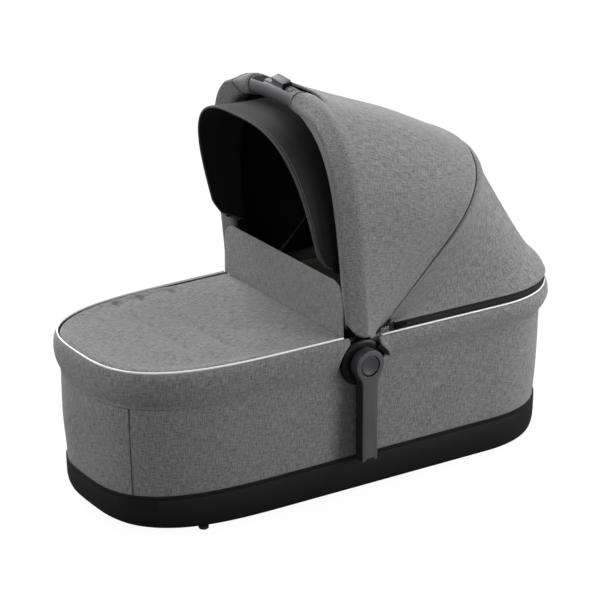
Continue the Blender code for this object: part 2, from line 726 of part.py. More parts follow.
def make_zip():
    """The zip's tape round the hood's foot, its slider and the clear end stop."""
    low = REAR_SEAM_HEIGHT + 2 * PIPING_RADIUS + 2 * GAP
    high = low + ZIP_HEIGHT
    back = ZIP_INSET + ZIP_THICKNESS
    profile = [(ZIP_INSET, low), (ZIP_INSET, high), (back, high), (back, low)]
    tape = skin([horseshoe(i, z, ZIP_START, False) for i, z in profile], around=False, along=True)
    piece("zip_tape", tape, "black_fabric")
    outer = half_width(SLIDER_PLACE, ZIP_INSET) + GAP
    middle = (low + high) / 2
    lower = (SLIDER_PLACE - SLIDER_LENGTH / 2, -outer - SLIDER_THICKNESS, middle - SLIDER_HEIGHT / 2)
    upper = (SLIDER_PLACE + SLIDER_LENGTH / 2, -outer, middle + SLIDER_HEIGHT / 2)
    turn = Matrix.Rotation(-zip_lean(), 4, "Z")
    place = Vector((SLIDER_PLACE, -outer, middle))
    holder = pivot("zip_slider_way", place)
    body = block(lower, upper, SLIDER_THICKNESS / 5)
    bmesh.ops.rotate(body, verts=body.verts, cent=place, matrix=turn)
    slider = piece("zip_slider", body, "hub_plastic", holder)
    pull_side = -outer - SLIDER_THICKNESS / 2
    pull = block(
        (SLIDER_PLACE, pull_side - SLIDER_THICKNESS / 4, middle - SLIDER_HEIGHT / 4),
        (SLIDER_PLACE + SLIDER_PULL, pull_side + SLIDER_THICKNESS / 4, middle + SLIDER_HEIGHT / 4),
        SLIDER_THICKNESS / 8,
        1,
    )
    bmesh.ops.rotate(pull, verts=pull.verts, cent=place, matrix=turn)
    join(slider, pull, "zip_pull")
    stop_high = ZIP_START - GAP
    stop_half = half_width(stop_high, ZIP_INSET)
    stop = block(
        (stop_high - SLIDER_HEIGHT, -stop_half, low),
        (stop_high, -stop_half + ZIP_THICKNESS, low + SLIDER_HEIGHT),
        ZIP_THICKNESS / 5,
    )
    piece("zip_stop", stop, "clear_plastic")
    return high


def zip_lean():
    """Angle by which the straight sides open out towards the head."""
    return math.atan((BODY_HALF_WIDTH - ZIP_INSET) * BODY_TAPER_SHARE / BODY_HALF_LENGTH)


def make_hubs(lining_inset):
    """On each side: the bracket on the rim, the domed hub outside the wall and the pivot pin."""
    inner_wall = WALL_INSET + WALL_THICKNESS + STIFFENER_THICKNESS + 2 * GAP
    bracket_out = half_width(HUB_X - BRACKET_LENGTH / 2, inner_wall)
    bracket_in = half_width(HUB_X + BRACKET_LENGTH / 2, lining_inset) + GAP
    hub_in = half_width(HUB_X + HUB_RADIUS, WALL_INSET) + GAP
    hub_out = POST_OUTER - POST_THICKNESS - GAP
    lining_face = half_width(HUB_X, lining_inset + 2 * LINING_THICKNESS)
    eyes = {
        "middle_out": lining_face - GAP,
        "middle_in": lining_face - GAP - EYE_THICKNESS,
        "handle_out": lining_face - 2 * GAP - EYE_THICKNESS,
        "handle_in": lining_face - 2 * GAP - 2 * EYE_THICKNESS,
    }
    head_out = eyes["handle_in"] - GAP
    pin_out = hub_out - PIN_COVER
    dome_height = min(HUB_DOME, hub_out - hub_in)
    centre = (HUB_X, HUB_Z)
    for name, sign in both_sides():
        sides = sorted((sign * bracket_in, sign * bracket_out))
        bracket = block(
            (HUB_X - BRACKET_LENGTH / 2, sides[0], BRACKET_BOTTOM),
            (HUB_X + BRACKET_LENGTH / 2, sides[1], BRACKET_BOTTOM + BRACKET_HEIGHT),
            BRACKET_ROUNDING,
        )
        made = piece("hub_bracket_" + name, bracket, "post_plastic")
        way = turned([(PIN_RADIUS + GAP, sign * bracket_in / 2), (PIN_RADIUS + GAP, sign * hub_in)], centre)
        cut(made, way, "bracket_bore_" + name)
        dome = [(PIN_RADIUS + GAP, pin_out + GAP), (PIN_RADIUS + GAP, hub_in), (HUB_RADIUS, hub_in)]
        for inward, drop in HUB_DOME_SHARES:
            radius = HUB_RADIUS - inward * (HUB_RADIUS - HUB_FACE_RADIUS)
            dome.append((radius, hub_out - drop * dome_height))
        hub = turned([(radius, sign * side) for radius, side in dome], centre, HUB_STEPS)
        piece("hub_housing_" + name, hub, "hub_plastic")
        pin = [
            (PIN_RADIUS, pin_out),
            (PIN_RADIUS, head_out),
            (PIN_HEAD_RADIUS, head_out),
            (PIN_HEAD_RADIUS, head_out - PIN_HEAD_LENGTH),
        ]
        piece("pivot_pin_" + name, turned([(r, sign * s) for r, s in pin], centre), "steel")
    return eyes


def post_outline():
    """(x, z) round the post: the round head, hollow shoulders and the straight leg."""
    run = POST_HALF_WIDTH + POST_SHOULDER_RADIUS
    reach = POST_HEAD_RADIUS + POST_SHOULDER_RADIUS
    drop = math.sqrt(reach**2 - run**2)
    turn = math.atan2(drop, run)
    right = []
    steps = POST_ARC_STEPS
    for k in range(2 * steps + 1):
        angle = math.pi / 2 - (math.pi / 2 + turn) * k / (2 * steps)
        right.append((POST_HEAD_RADIUS * math.cos(angle), POST_HEAD_RADIUS * math.sin(angle)))
    for k in range(1, steps + 1):
        angle = math.pi - turn + turn * k / steps
        x = run + POST_SHOULDER_RADIUS * math.cos(angle)
        right.append((x, -drop + POST_SHOULDER_RADIUS * math.sin(angle)))
    right.append((POST_HALF_WIDTH, POST_BOTTOM - HUB_Z))
    left = [(-x, z) for x, z in right[1:]]
    return [(HUB_X + x, HUB_Z + z) for x, z in right + left[::-1]]


def post_row(side, shrink=0.0):
    """The post's outline at a side, drawn in towards its middle line."""
    row = []
    for x, z in post_outline():
        away = Vector((x - HUB_X, z - HUB_Z))
        if away.y < -POST_HEAD_RADIUS:
            away = Vector((away.x, 0.0))
        away = away.normalized() * shrink
        low = shrink if z <= POST_BOTTOM else 0.0
        row.append(Vector((x - away.x, side, z - away.y + low)))
    return row


def make_posts():
    """On each side: the post, the rib behind it, the release button and its spring."""
    inner = POST_OUTER - POST_THICKNESS
    face = POST_OUTER
    bore_floor = POST_OUTER - BUTTON_BORE_DEPTH
    for name, sign in both_sides():
        rows = [post_row(sign * inner), post_row(sign * (face - POST_EDGE))]
        rows.append(post_row(sign * face, POST_EDGE))
        post = piece("side_post_" + name, skin(rows), "post_plastic")
        bore = [(BUTTON_RADIUS + GAP, sign * side) for side in (bore_floor, face + CUT_OVERRUN)]
        cut(post, turned(bore, (HUB_X, HUB_Z), BUTTON_STEPS), "button_bore_" + name)
        middle = (inner + face) / 2
        half_socket = SOCKET_THICKNESS / 2
        sides = sorted((sign * (middle - half_socket), sign * (middle + half_socket)))
        socket = block(
            (HUB_X - SOCKET_WIDTH / 2, sides[0], POST_BOTTOM - CUT_OVERRUN),
            (HUB_X + SOCKET_WIDTH / 2, sides[1], POST_BOTTOM + SOCKET_DEPTH),
        )
        cut(post, socket, "post_socket_" + name)
        sides = sorted((sign * middle, sign * (face + CUT_OVERRUN)))
        notch = block(
            (HUB_X - NOTCH_WIDTH / 2, sides[0], POST_BOTTOM - CUT_OVERRUN),
            (HUB_X + NOTCH_WIDTH / 2, sides[1], POST_BOTTOM + NOTCH_HEIGHT),
        )
        cut(post, notch, "post_notch_" + name)
        rib_top = HUB_Z - HUB_RADIUS - GAP
        rib_in = half_width(HUB_X + RIB_WIDTH / 2, wall_inset(rib_top)) + RIB_CLEARANCE
        sides = sorted((sign * rib_in, sign * (inner - GAP)))
        rib = block(
            (HUB_X - RIB_WIDTH / 2, sides[0], POST_BOTTOM - RIB_DROP),
            (HUB_X + RIB_WIDTH / 2, sides[1], rib_top),
            POST_EDGE,
            1,
        )
        piece("post_rib_" + name, rib, "hub_plastic")
        front = face - BUTTON_RECESS
        holder = pivot("button_way_" + name, (HUB_X, sign * front, HUB_Z))
        cap = [
            (BUTTON_RADIUS, front - BUTTON_LENGTH),
            (BUTTON_RADIUS, front - BUTTON_DISH),
            (BUTTON_RADIUS - BUTTON_DISH, front),
            (BUTTON_DISH_SHARES[0] * BUTTON_RADIUS, front),
            (BUTTON_DISH_SHARES[1] * BUTTON_RADIUS, front - BUTTON_DISH),
        ]
        button = turned([(r, sign * s) for r, s in cap], (HUB_X, HUB_Z), BUTTON_STEPS)
        piece("release_button_" + name, button, "post_plastic", holder)
        make_spring(name, sign, bore_floor + GAP, front - BUTTON_LENGTH - GAP)


def make_spring(name, sign, start, end):
    """The button's return spring: one unbroken coil."""
    total = SPRING_CURLS * CURL_POINTS
    rise = end - start - 2 * SPRING_WIRE
    curve = bpy.data.curves.new("button_spring_" + name, "CURVE")
    curve.dimensions = "3D"
    curve.bevel_depth = SPRING_WIRE
    curve.bevel_resolution = 1
    curve.use_fill_caps = True
    spline = curve.splines.new("POLY")
    spline.points.add(total)
    for k in range(total + 1):
        angle = math.tau * k / CURL_POINTS
        side = start + SPRING_WIRE + rise * k / total
        x = HUB_X + SPRING_RADIUS * math.cos(angle)
        z = HUB_Z + SPRING_RADIUS * math.sin(angle)
        spline.points[k].co = (x, sign * side, z, 1.0)
    print("button_spring_" + name, "least gap between curls", rise / SPRING_CURLS - 2 * SPRING_WIRE)
    curve.materials.append(finish("steel"))
    made = bpy.data.objects.new("button_spring_" + name, curve)
    bpy.context.scene.collection.objects.link(made)


def strip(pairs, widths, angle, thickness):
    """A flat strip in a bow's plane through (side, along) pairs, with half widths across the plane."""
    rows = []
    for k, (side, along) in enumerate(pairs):
        before = Vector(pairs[max(k - 1, 0)])
        after = Vector(pairs[min(k + 1, len(pairs) - 1)])
        direction = (after - before).normalized()
        out = Vector((-direction.y, direction.x)) * (thickness / 2)
        corners = []
        for sense, width in ((1, 1), (1, -1), (-1, -1), (-1, 1)):
            corners.append(hub_point(angle, along + sense * out.y, side + sense * out.x, width * widths[k]))
        rows.append(corners)
    return skin(rows)


def eye_end(side, neck):
    """Middle line and half widths of a strip's round end about the hub axis, up to its neck."""
    pairs, widths = [], []
    turn = math.pi - math.asin(neck / EYE_RADIUS) - EYE_FLAT
    for k in range(EYE_STEPS + 1):
        angle = EYE_FLAT - math.pi / 2 + turn * k / EYE_STEPS
        pairs.append((side, EYE_RADIUS * math.sin(angle)))
        widths.append(EYE_RADIUS * math.cos(angle))
    return pairs, widths


def make_middle_bow(eyes, parent):
    """The flat bow sewn into the hood's seam, with an eye at each end."""
    side = (eyes["middle_out"] + eyes["middle_in"]) / 2
    thickness = MIDDLE_STRIP_THICKNESS
    pairs, widths = eye_end(-side, MIDDLE_STRIP_HALF_WIDTH)
    start = MIDDLE_SHOULDER
    pairs.append((-side, SEAM_START + GAP))
    body = arch(MIDDLE_HALF_WIDTH, start, MIDDLE_TOP, MIDDLE_POWER, start)[1:-1]
    near = pairs + body[: len(body) // 2 + 1]
    widths += [MIDDLE_STRIP_HALF_WIDTH] * (len(near) - len(widths))
    far = [(-s, a) for s, a in near[:-1]][::-1]
    bow = strip(near + far, widths + widths[:-1][::-1], MIDDLE_ANGLE, thickness)
    made = piece("middle_bow", bow, "board_plastic", parent)
    use_cutter(made, cross_bore("middle_eye", PIN_RADIUS + GAP, (HUB_X, HUB_Z), side + CUT_OVERRUN))


def make_handle(eyes, parent):
    """The handle bow: an arm and a tube on each side, and the grip with its cuffs and release slide."""
    side = (eyes["handle_out"] + eyes["handle_in"]) / 2
    arm_side = HANDLE_HALF_WIDTH - HANDLE_TUBE_RADIUS - GAP - EYE_THICKNESS / 2
    eye_bore = cross_bore("handle_eye", PIN_RADIUS + GAP, (HUB_X, HUB_Z), side + CUT_OVERRUN)
    body = arch(HANDLE_HALF_WIDTH, HANDLE_SHOULDER, HANDLE_TOP, HANDLE_POWER, HANDLE_TUBE_START)
    normal = Vector((-math.sin(HANDLE_ANGLE), 0.0, math.cos(HANDLE_ANGLE)))
    radius = HANDLE_TUBE_RADIUS
    bore = radius - HANDLE_TUBE_WALL
    for name, sign in both_sides():
        pairs, widths = eye_end(sign * side, ARM_HALF_WIDTH)
        pairs.append((sign * side, HANDLE_ARM_BEND))
        pairs += [(sign * arm_side, HANDLE_ARM_STEP), (sign * arm_side, HANDLE_ARM_END)]
        widths += [ARM_HALF_WIDTH] * 3
        arm = strip(pairs, widths, HANDLE_ANGLE, EYE_THICKNESS - 2 * GAP)
        use_cutter(piece("handle_arm_" + name, arm, "post_plastic", parent), eye_bore)
        meeting = GRIP_HALF_LENGTH + GAP
        cuff_end = meeting + CUFF_WIDTH
        leg = [(s, a) for s, a in body if s < -cuff_end - CUFF_WIDTH]
        leg += [(-s, handle_along(s)) for s in (cuff_end, meeting)]
        path = [hub_point(HANDLE_ANGLE, a, -sign * s) for s, a in leg]
        inward = -handle_direction(sign)
        tube = sweep(path, normal, (radius, radius), TUBE_SIDES, (bore, bore), (None, inward))
        piece("handle_tube_" + name, tube, "aluminium", parent)
        hollow = (radius + 2 * GAP, radius + 2 * GAP)
        radii = (CUFF_RADIUS, CUFF_RADIUS)
        cuff = sweep(path[-2:], normal, radii, TUBE_SIDES + 4, hollow, (inward, inward))
        piece("grip_cuff_" + name, cuff, "grey_fabric", parent)
    make_grip(normal, parent)


def handle_along(side):
    """Distance of the handle's middle line from the hub axis at a side near the top."""
    across = (side / HANDLE_HALF_WIDTH) ** HANDLE_POWER
    return HANDLE_SHOULDER + (HANDLE_TOP - HANDLE_SHOULDER) * (1 - across) ** (1 / HANDLE_POWER)


def handle_direction(sign):
    """Direction of the handle's middle line where the grip ends, pointing away from the grip."""
    inner = hub_point(HANDLE_ANGLE, handle_along(GRIP_HALF_LENGTH), sign * GRIP_HALF_LENGTH)
    meeting = GRIP_HALF_LENGTH + CUFF_WIDTH
    outer = hub_point(HANDLE_ANGLE, handle_along(meeting), sign * meeting)
    return (outer - inner).normalized()


def handle_box(half_length, half_across, low, high, rounding=0.0):
    """A box in the handle's plane, along the release slide's way, from low to high above the hub axis."""
    bm = block(
        (-half_across, SLIDE_PLACE - half_length, low),
        (half_across, SLIDE_PLACE + half_length, high),
        rounding,
    )
    turn = Matrix.Rotation(math.pi / 2 - HANDLE_ANGLE, 4, "Y")
    place = Matrix.Translation((HUB_X, 0.0, HUB_Z))
    bmesh.ops.transform(bm, matrix=place @ turn, verts=bm.verts)
    return bm


def make_grip(normal, parent):
    """The moulded grip, grooved on top for the release slide."""
    path = []
    for k in range(GRIP_STEPS + 1):
        side = -GRIP_HALF_LENGTH + 2 * GRIP_HALF_LENGTH * k / GRIP_STEPS
        path.append(hub_point(HANDLE_ANGLE, handle_along(abs(side)), side))
    ends = (-handle_direction(-1), handle_direction(1))
    handle = sweep(path, normal, (GRIP_RADIUS, GRIP_RADIUS), GRIP_SIDES, None, ends)
    grip = piece("carry_grip", handle, "post_plastic", parent)
    grip_top = HANDLE_TOP + GRIP_RADIUS
    floor = grip_top - GRIP_GROOVE_DEPTH
    groove_half = SLIDE_HALF_LENGTH + SLIDE_TRAVEL + GAP
    groove = handle_box(groove_half, GRIP_GROOVE_WIDTH / 2, floor, grip_top + CUT_OVERRUN)
    cut(grip, groove, "grip_groove")
    holder = pivot("release_way", hub_point(HANDLE_ANGLE, floor, SLIDE_PLACE), parent)
    half_across = GRIP_GROOVE_WIDTH / 2 - GAP
    base = handle_box(SLIDE_HALF_LENGTH, half_across, floor + GAP, grip_top + SLIDE_STEP)
    slide = piece("release_slide", base, "post_plastic", holder)
    low = grip_top + GAP
    high = low + SLIDE_PAD_HEIGHT
    pad = handle_box(SLIDE_PAD_HALF_LENGTH, SLIDE_PAD_WIDTH / 2, low, high, SLIDE_STEP / 2)
    up = hub_point(HANDLE_ANGLE, SLIDE_PAD_RISE, 0.0) - hub_point(HANDLE_ANGLE, 0.0, 0.0)
    raised = [v for v in pad.verts if v.co.z > HUB_Z + (low + high) / 2 and v.co.y > SLIDE_PLACE]
    bmesh.ops.translate(pad, verts=raised, vec=up)
    join(slide, pad, "release_pad")


def canopy_row(reach_share, tuck_share):
    """One row of points of the hood's front edge, wrapped round the handle tube."""
    start = CANOPY_START + (HEM_START - CANOPY_START) * max(reach_share, 0.0)
    half = CANOPY_HALF_WIDTH - tuck_share * HEM_SIDE_TUCK
    power = CANOPY_POWER + tuck_share * (HEM_POWER - CANOPY_POWER)
    pairs = arch(half, CANOPY_SHOULDER, CANOPY_TOP - tuck_share * HEM_TUCK, power, start)
    return [hub_point(HANDLE_ANGLE, a, s, HEM_REACH * reach_share) for s, a in pairs]


def blend(first, second, share):
    """Row of points between two rows."""
    return [a.lerp(b, share) for a, b in zip(first, second)]


def swell(i, count):
    """Share of a panel's fullness at point i of a row: none at its feet, all of it on the crest."""
    return math.sin(math.pi * i / (count - 1)) ** 2


def seam_side(rearward):
    """A tall box on one side of the plane of the hood's seam, for trimming the panels that meet there."""
    reach = CANOPY_TOP + CANOPY_TOP
    half = CANOPY_HALF_WIDTH + CUT_OVERRUN
    lower, upper = (-reach, GAP / 2) if rearward else (-GAP / 2, reach)
    bm = block((-reach, -half, lower), (reach, half, upper))
    turn = Matrix.Rotation(-MIDDLE_ANGLE, 4, "Y")
    bmesh.ops.transform(bm, matrix=Matrix.Translation((HUB_X, 0.0, HUB_Z)) @ turn, verts=bm.verts)
    return bm


def make_canopy(zip_top, handle_parent):
    """The hood's two fabric panels, in front of and behind the seam over the middle bow."""
    rows = [canopy_row(reach, tuck) for reach, tuck in HEM_ROW_SHARES]
    crest = rows[-1]
    seam_pairs = arch(SEAM_HALF_WIDTH, MIDDLE_SHOULDER, SEAM_TOP, MIDDLE_POWER, SEAM_START)
    seam = [hub_point(MIDDLE_ANGLE, a, s) for s, a in seam_pairs]
    count = len(seam)
    over = GAP / SEAM_TOP
    for share in FRONT_ROW_SHARES:
        full = FRONT_BULGE * math.sin(math.pi * share**2)
        row = []
        for i, point in enumerate(blend(crest, seam, share)):
            out = (point - Vector((HUB_X, 0.0, HUB_Z))).normalized()
            row.append(point + out * (full * swell(i, count)))
        rows.append(row)
    rows.append(blend(crest, seam, 1 + over))
    front = piece("front_canopy", sheet(rows), "grey_fabric", handle_parent)
    thicken(front, CANOPY_THICKNESS)
    cut(front, seam_side(True), "front_seam_trim")
    opening_half = GRIP_HALF_LENGTH + GRIP_OPENING_CLEARANCE
    opening_back = hub_point(HANDLE_ANGLE, HANDLE_TOP, 0.0).x + GRIP_RADIUS + GRIP_OPENING_DEPTH
    opening = block(
        (HUB_X - CANOPY_TOP, -opening_half, HUB_Z + HANDLE_SHOULDER),
        (opening_back, opening_half, HUB_Z + CANOPY_TOP + CANOPY_TOP),
    )
    cut(front, opening, "grip_opening")
    foot_path = horseshoe(0.0, zip_top - CANOPY_THICKNESS, seam[0].x + GAP, False)
    foot = resample(foot_path, count)
    rear_rows = [blend(seam, foot, -over)]
    rear_rows += [blend(seam, foot, k / REAR_ROWS) for k in range(1, REAR_ROWS + 1)]
    rear = piece("rear_canopy", sheet(rear_rows), "grey_fabric")
    thicken(rear, CANOPY_THICKNESS)
    cut(rear, seam_side(False), "rear_seam_trim")
    below = block(
        (HUB_X - CANOPY_TOP, -CANOPY_HALF_WIDTH - CUT_OVERRUN, HUB_Z),
        (BODY_HALF_LENGTH + CUT_OVERRUN, CANOPY_HALF_WIDTH + CUT_OVERRUN, zip_top + GAP),
    )
    cut(rear, below, "canopy_foot")


def resample(path, count):
    """Points spread along a path, at shares of its length that match an arch's points."""
    lengths = [0.0]
    for a, b in zip(path, path[1:]):
        lengths.append(lengths[-1] + (b - a).length)
    points = []
    for k in range(count):
        target = lengths[-1] * k / (count - 1)
        i = 0
        while i < len(path) - 2 and lengths[i + 1] < target:
            i += 1
        span = lengths[i + 1] - lengths[i]
        points.append(path[i].lerp(path[i + 1], (target - lengths[i]) / span))
    return points


def make_visor(handle_parent):
    """The sun visor inside the handle bow, and the clips on which it turns."""
    holder = pivot("visor_axis", (VISOR_PIVOT_X, 0.0, VISOR_PIVOT_Z), handle_parent)
    half = VISOR_HALF_WIDTH
    front_pairs = arch(half, VISOR_SHOULDER, VISOR_TOP, VISOR_POWER, VISOR_FRONT_START)
    rear_pairs = arch(half, VISOR_SHOULDER, VISOR_REAR_TOP, VISOR_REAR_POWER, VISOR_REAR_START)
    front = [hub_point(VISOR_FRONT_ANGLE, a, s, VISOR_FRONT_REACH) for s, a in front_pairs]
    rear = [hub_point(VISOR_REAR_ANGLE, a, s) for s, a in rear_pairs]
    rows = [blend(front, rear, k / VISOR_ROWS) for k in range(VISOR_ROWS + 1)]
    visor = piece("sun_visor", sheet(rows), "black_fabric", holder)
    thicken(visor, VISOR_THICKNESS)
    centre = (VISOR_PIVOT_X, VISOR_PIVOT_Z)
    bore = cross_bore("visor_eye", VISOR_STUD_RADIUS + GAP, centre, half + CUT_OVERRUN)
    use_cutter(visor, bore)
    clip_in = half + GAP
    clip_out = clip_in + VISOR_CLIP_THICKNESS
    half_height = VISOR_CLIP_HEIGHT / 2
    clip_front = VISOR_PIVOT_X - VISOR_CLIP_LENGTH / 2
    clip_rear = VISOR_PIVOT_X + VISOR_CLIP_LENGTH / 2 + VISOR_STUD_RADIUS
    for name, sign in both_sides():
        sides = sorted((sign * clip_in, sign * clip_out))
        clip = block(
            (clip_front, sides[0], VISOR_PIVOT_Z - half_height),
            (clip_rear, sides[1], VISOR_PIVOT_Z + half_height),
        )
        made = piece("visor_clip_" + name, clip, "post_plastic", handle_parent)
        stud = [(VISOR_STUD_RADIUS, half - VISOR_THICKNESS), (VISOR_STUD_RADIUS, clip_in + GAP)]
        join(made, turned([(r, sign * s) for r, s in stud], centre), "visor_stud_" + name)
        body = arch(HANDLE_HALF_WIDTH, HANDLE_SHOULDER, HANDLE_TOP, HANDLE_POWER, HANDLE_TUBE_START)
        path = [hub_point(HANDLE_ANGLE, a, -sign * s) for s, a in body[:4]]
        normal = Vector((-math.sin(HANDLE_ANGLE), 0.0, math.cos(HANDLE_ANGLE)))
        seat = HANDLE_TUBE_RADIUS + GAP
        cut(made, sweep(path, normal, (seat, seat), TUBE_SIDES), "clip_seat_" + name)


def make_flap():
    """The wind flap that stands at the apron's end and folds down onto it."""
    holder = pivot("flap_axis", (FLAP_X, 0.0, FLAP_BASE))
    half = half_width(FLAP_X, FLAP_SIDE_CLEARANCE)
    top = FLAP_BASE + FLAP_HEIGHT
    corner = []
    for k in range(FLAP_CORNER_STEPS + 1):
        angle = math.pi / 2 * k / FLAP_CORNER_STEPS
        y = half - FLAP_CORNER * (1 - math.sin(angle))
        corner.append((y, top - FLAP_CORNER * (1 - math.cos(angle))))
    right = corner + [(half, FLAP_BASE - FLAP_HEM)]
    outline = right + [(-y, z) for y, z in right[::-1]]
    rows = []
    for depth, inset in ((-0.5, FLAP_THICKNESS / 4), (-0.25, 0.0), (0.25, 0.0), (0.5, FLAP_THICKNESS / 4)):
        x = FLAP_X + depth * FLAP_THICKNESS
        row = []
        for y, z in outline:
            low = inset if z > FLAP_BASE + FLAP_THICKNESS else -inset
            row.append(Vector((x, y - math.copysign(inset, y), z - low)))
        rows.append(row)
    piece("wind_flap", skin(rows), "grey_fabric", holder)


def main():
    """Build the whole carrycot."""
    for old in list(bpy.data.objects):
        bpy.data.objects.remove(old)
    make_feet()
    board_top = make_tray()
    lining_inset = make_walls(board_top)
    make_mattress(board_top)
    make_bands()
    make_apron()
    zip_top = make_zip()
    eyes = make_hubs(lining_inset)
    make_posts()
    middle_axis = pivot("middle_bow_axis", (HUB_X, 0.0, HUB_Z))
    handle_axis = pivot("handle_axis", (HUB_X, 0.0, HUB_Z), middle_axis)
    make_middle_bow(eyes, middle_axis)
    make_handle(eyes, handle_axis)
    make_canopy(zip_top, handle_axis)
    make_visor(handle_axis)
    make_flap()


main()
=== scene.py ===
"""Dresses the carrycot: woven cover, apron, wind flap, hood, visor, carry grip, hubs, posts and tray.

Metres, +Z up. +X points to the hood end and -Y is the near side, as in the CAD frame.
"""

import logging
import math
from bisect import bisect_right
from dataclasses import dataclass, replace
from enum import Enum
from typing import Any, Callable, Optional, Sequence, Union

import bmesh
import bpy
from mathutils import Matrix, Vector, noise


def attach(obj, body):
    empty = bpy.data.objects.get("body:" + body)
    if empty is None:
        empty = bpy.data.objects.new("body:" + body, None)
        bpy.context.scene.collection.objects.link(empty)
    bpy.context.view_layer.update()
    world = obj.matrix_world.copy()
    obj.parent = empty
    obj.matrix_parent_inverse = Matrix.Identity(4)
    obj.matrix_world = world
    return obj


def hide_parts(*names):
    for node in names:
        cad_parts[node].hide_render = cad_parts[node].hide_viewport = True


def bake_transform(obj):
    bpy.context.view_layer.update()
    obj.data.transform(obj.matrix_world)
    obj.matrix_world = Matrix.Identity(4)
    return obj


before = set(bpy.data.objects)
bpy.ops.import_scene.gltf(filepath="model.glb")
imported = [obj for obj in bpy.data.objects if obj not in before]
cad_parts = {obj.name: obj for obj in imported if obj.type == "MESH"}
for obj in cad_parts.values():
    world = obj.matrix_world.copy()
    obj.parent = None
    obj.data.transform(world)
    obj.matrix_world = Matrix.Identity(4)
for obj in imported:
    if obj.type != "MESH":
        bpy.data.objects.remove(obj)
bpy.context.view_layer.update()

LOG = logging.getLogger("carrycot")
GAP = 0.0003
WELD = 1e-6
TINY = 1e-9
HUB_X = -0.014
HUB_Z = 0.228
HUB_MIDDLE = Vector((HUB_X, 0.0, HUB_Z))
HANDLE_ANGLE = math.radians(95.6)
MIDDLE_ANGLE = math.radians(44.0)
TRAY_TOP = 0.067
WALL_TOP = 0.261
FRONT_SEAM = 0.273
REAR_SEAM = 0.264
BAND_HEIGHT = 0.0605
REAR_BAND_HEIGHT = 0.0425
HUB_RADIUS = 0.041
POST_OUTER = 0.200

Place = Callable[[float, float], Vector]
Path = Callable[[float], Vector]
Colour = tuple[float, float, float]
Mesh = bmesh.types.BMesh
Thing = bpy.types.Object


class Side(Enum):
    """The two sides of the carrycot, with the sign of Y."""

    RIGHT = -1
    LEFT = 1

    @property
    def label(self) -> str:
        """The ending of node names on this side."""
        return self.name.lower()


class Weave(Enum):
    """Where a cloth pattern lies."""

    COVER = "UV"
    SOLID = "Object"


# Shader building


class Signal:
    """A shader socket that takes part in Python arithmetic."""

    def __init__(self, graph: "Graph", socket: bpy.types.NodeSocket) -> None:
        """Wrap an output socket of a graph."""
        self.graph = graph
        self.socket = socket

    def _math(self, operation: str, first: "Level", second: "Level") -> "Signal":
        """Add a Math node of that operation."""
        return self.graph.node("ShaderNodeMath", {"operation": operation}, {0: first, 1: second})

    def __add__(self, other: "Level") -> "Signal":
        """Sum."""
        return self._math("ADD", self, other)

    def __sub__(self, other: "Level") -> "Signal":
        """Difference."""
        return self._math("SUBTRACT", self, other)

    def __rsub__(self, other: "Level") -> "Signal":
        """Reflected difference."""
        return self._math("SUBTRACT", other, self)

    def __mul__(self, other: "Level") -> "Signal":
        """Product."""
        return self._math("MULTIPLY", self, other)

    __radd__ = __add__
    __rmul__ = __mul__

    def between(self, low: float, high: float) -> "Signal":
        """Rise from 0 at low to 1 at high, held there.

        Args:
            low: the value that gives 0.
            high: the value that gives 1.

        Returns:
            The clamped share.
        """
        sockets = {"Value": self, "From Min": low, "From Max": high}
        return self.graph.node("ShaderNodeMapRange", {"clamp": True}, sockets)


Level = Union[float, Signal]


class Graph:
    """A new material with one Principled shader, and the one method that adds nodes to it."""

    def __init__(self, name: str) -> None:
        """Make the material and keep its shader at hand."""
        self.material = bpy.data.materials.new(name)
        self.material.use_nodes = True
        self.tree = self.material.node_tree
        self.shader = self.tree.nodes["Principled BSDF"]

    def node(self, kind: str, settings: Optional[dict[str, Any]] = None,
             sockets: Optional[dict[Any, Any]] = None, out: Any = 0) -> Signal:
        """Add a node.

        Args:
            kind: the node's type.
            settings: its own properties.
            sockets: values or signals for its inputs.
            out: which output to hand back.

        Returns:
            The chosen output as a signal.
        """
        made = self.tree.nodes.new(kind)
        for key, value in (settings or {}).items():
            setattr(made, key, value)
        for key, value in (sockets or {}).items():
            self.feed(made.inputs[key], value)
        return Signal(self, made.outputs[out])

    def feed(self, socket: bpy.types.NodeSocket, value: Any) -> None:
        """Link a signal to a socket, or set its value."""
        if isinstance(value, Signal):
            self.tree.links.new(value.socket, socket)
        else:
            socket.default_value = value

    def set(self, **levels: Any) -> None:
        """Set or link the shader's inputs, with underscores for spaces."""
        for key, value in levels.items():
            self.feed(self.shader.inputs[key.replace("_", " ")], value)

    def pattern(self, weave: Weave, scale: Sequence[float]) -> Signal:
        """Coordinates on the cloth or in the solid, scaled along each axis."""
        base = self.node("ShaderNodeTexCoord", out=weave.value)
        return self.node("ShaderNodeMapping", sockets={"Vector": base, "Scale": Vector(scale)})

    def grain(self, weave: Weave, scale: Sequence[float], detail: float = 1.0) -> Signal:
        """Noise at so many features a metre along each axis, from 0 to 1."""
        sockets = {"Vector": self.pattern(weave, scale), "Scale": 1.0, "Detail": detail}
        return self.node("ShaderNodeTexNoise", {"noise_dimensions": "3D"}, sockets)

    def mix(self, share: Level, first: Any, second: Any) -> Signal:
        """Blend two colours."""
        a, b = (c if isinstance(c, Signal) else (*c, 1.0) for c in (first, second))
        return self.node("ShaderNodeMix", {"data_type": "RGBA"}, {0: share, 6: a, 7: b}, 2)

    def bump(self, height: Signal, depth: float, strength: float = 1.0) -> None:
        """Raise the surface by a height from 0 to 1 times a depth in metres."""
        sockets = {"Height": height, "Distance": depth, "Strength": strength}
        self.set(Normal=self.node("ShaderNodeBump", sockets=sockets))


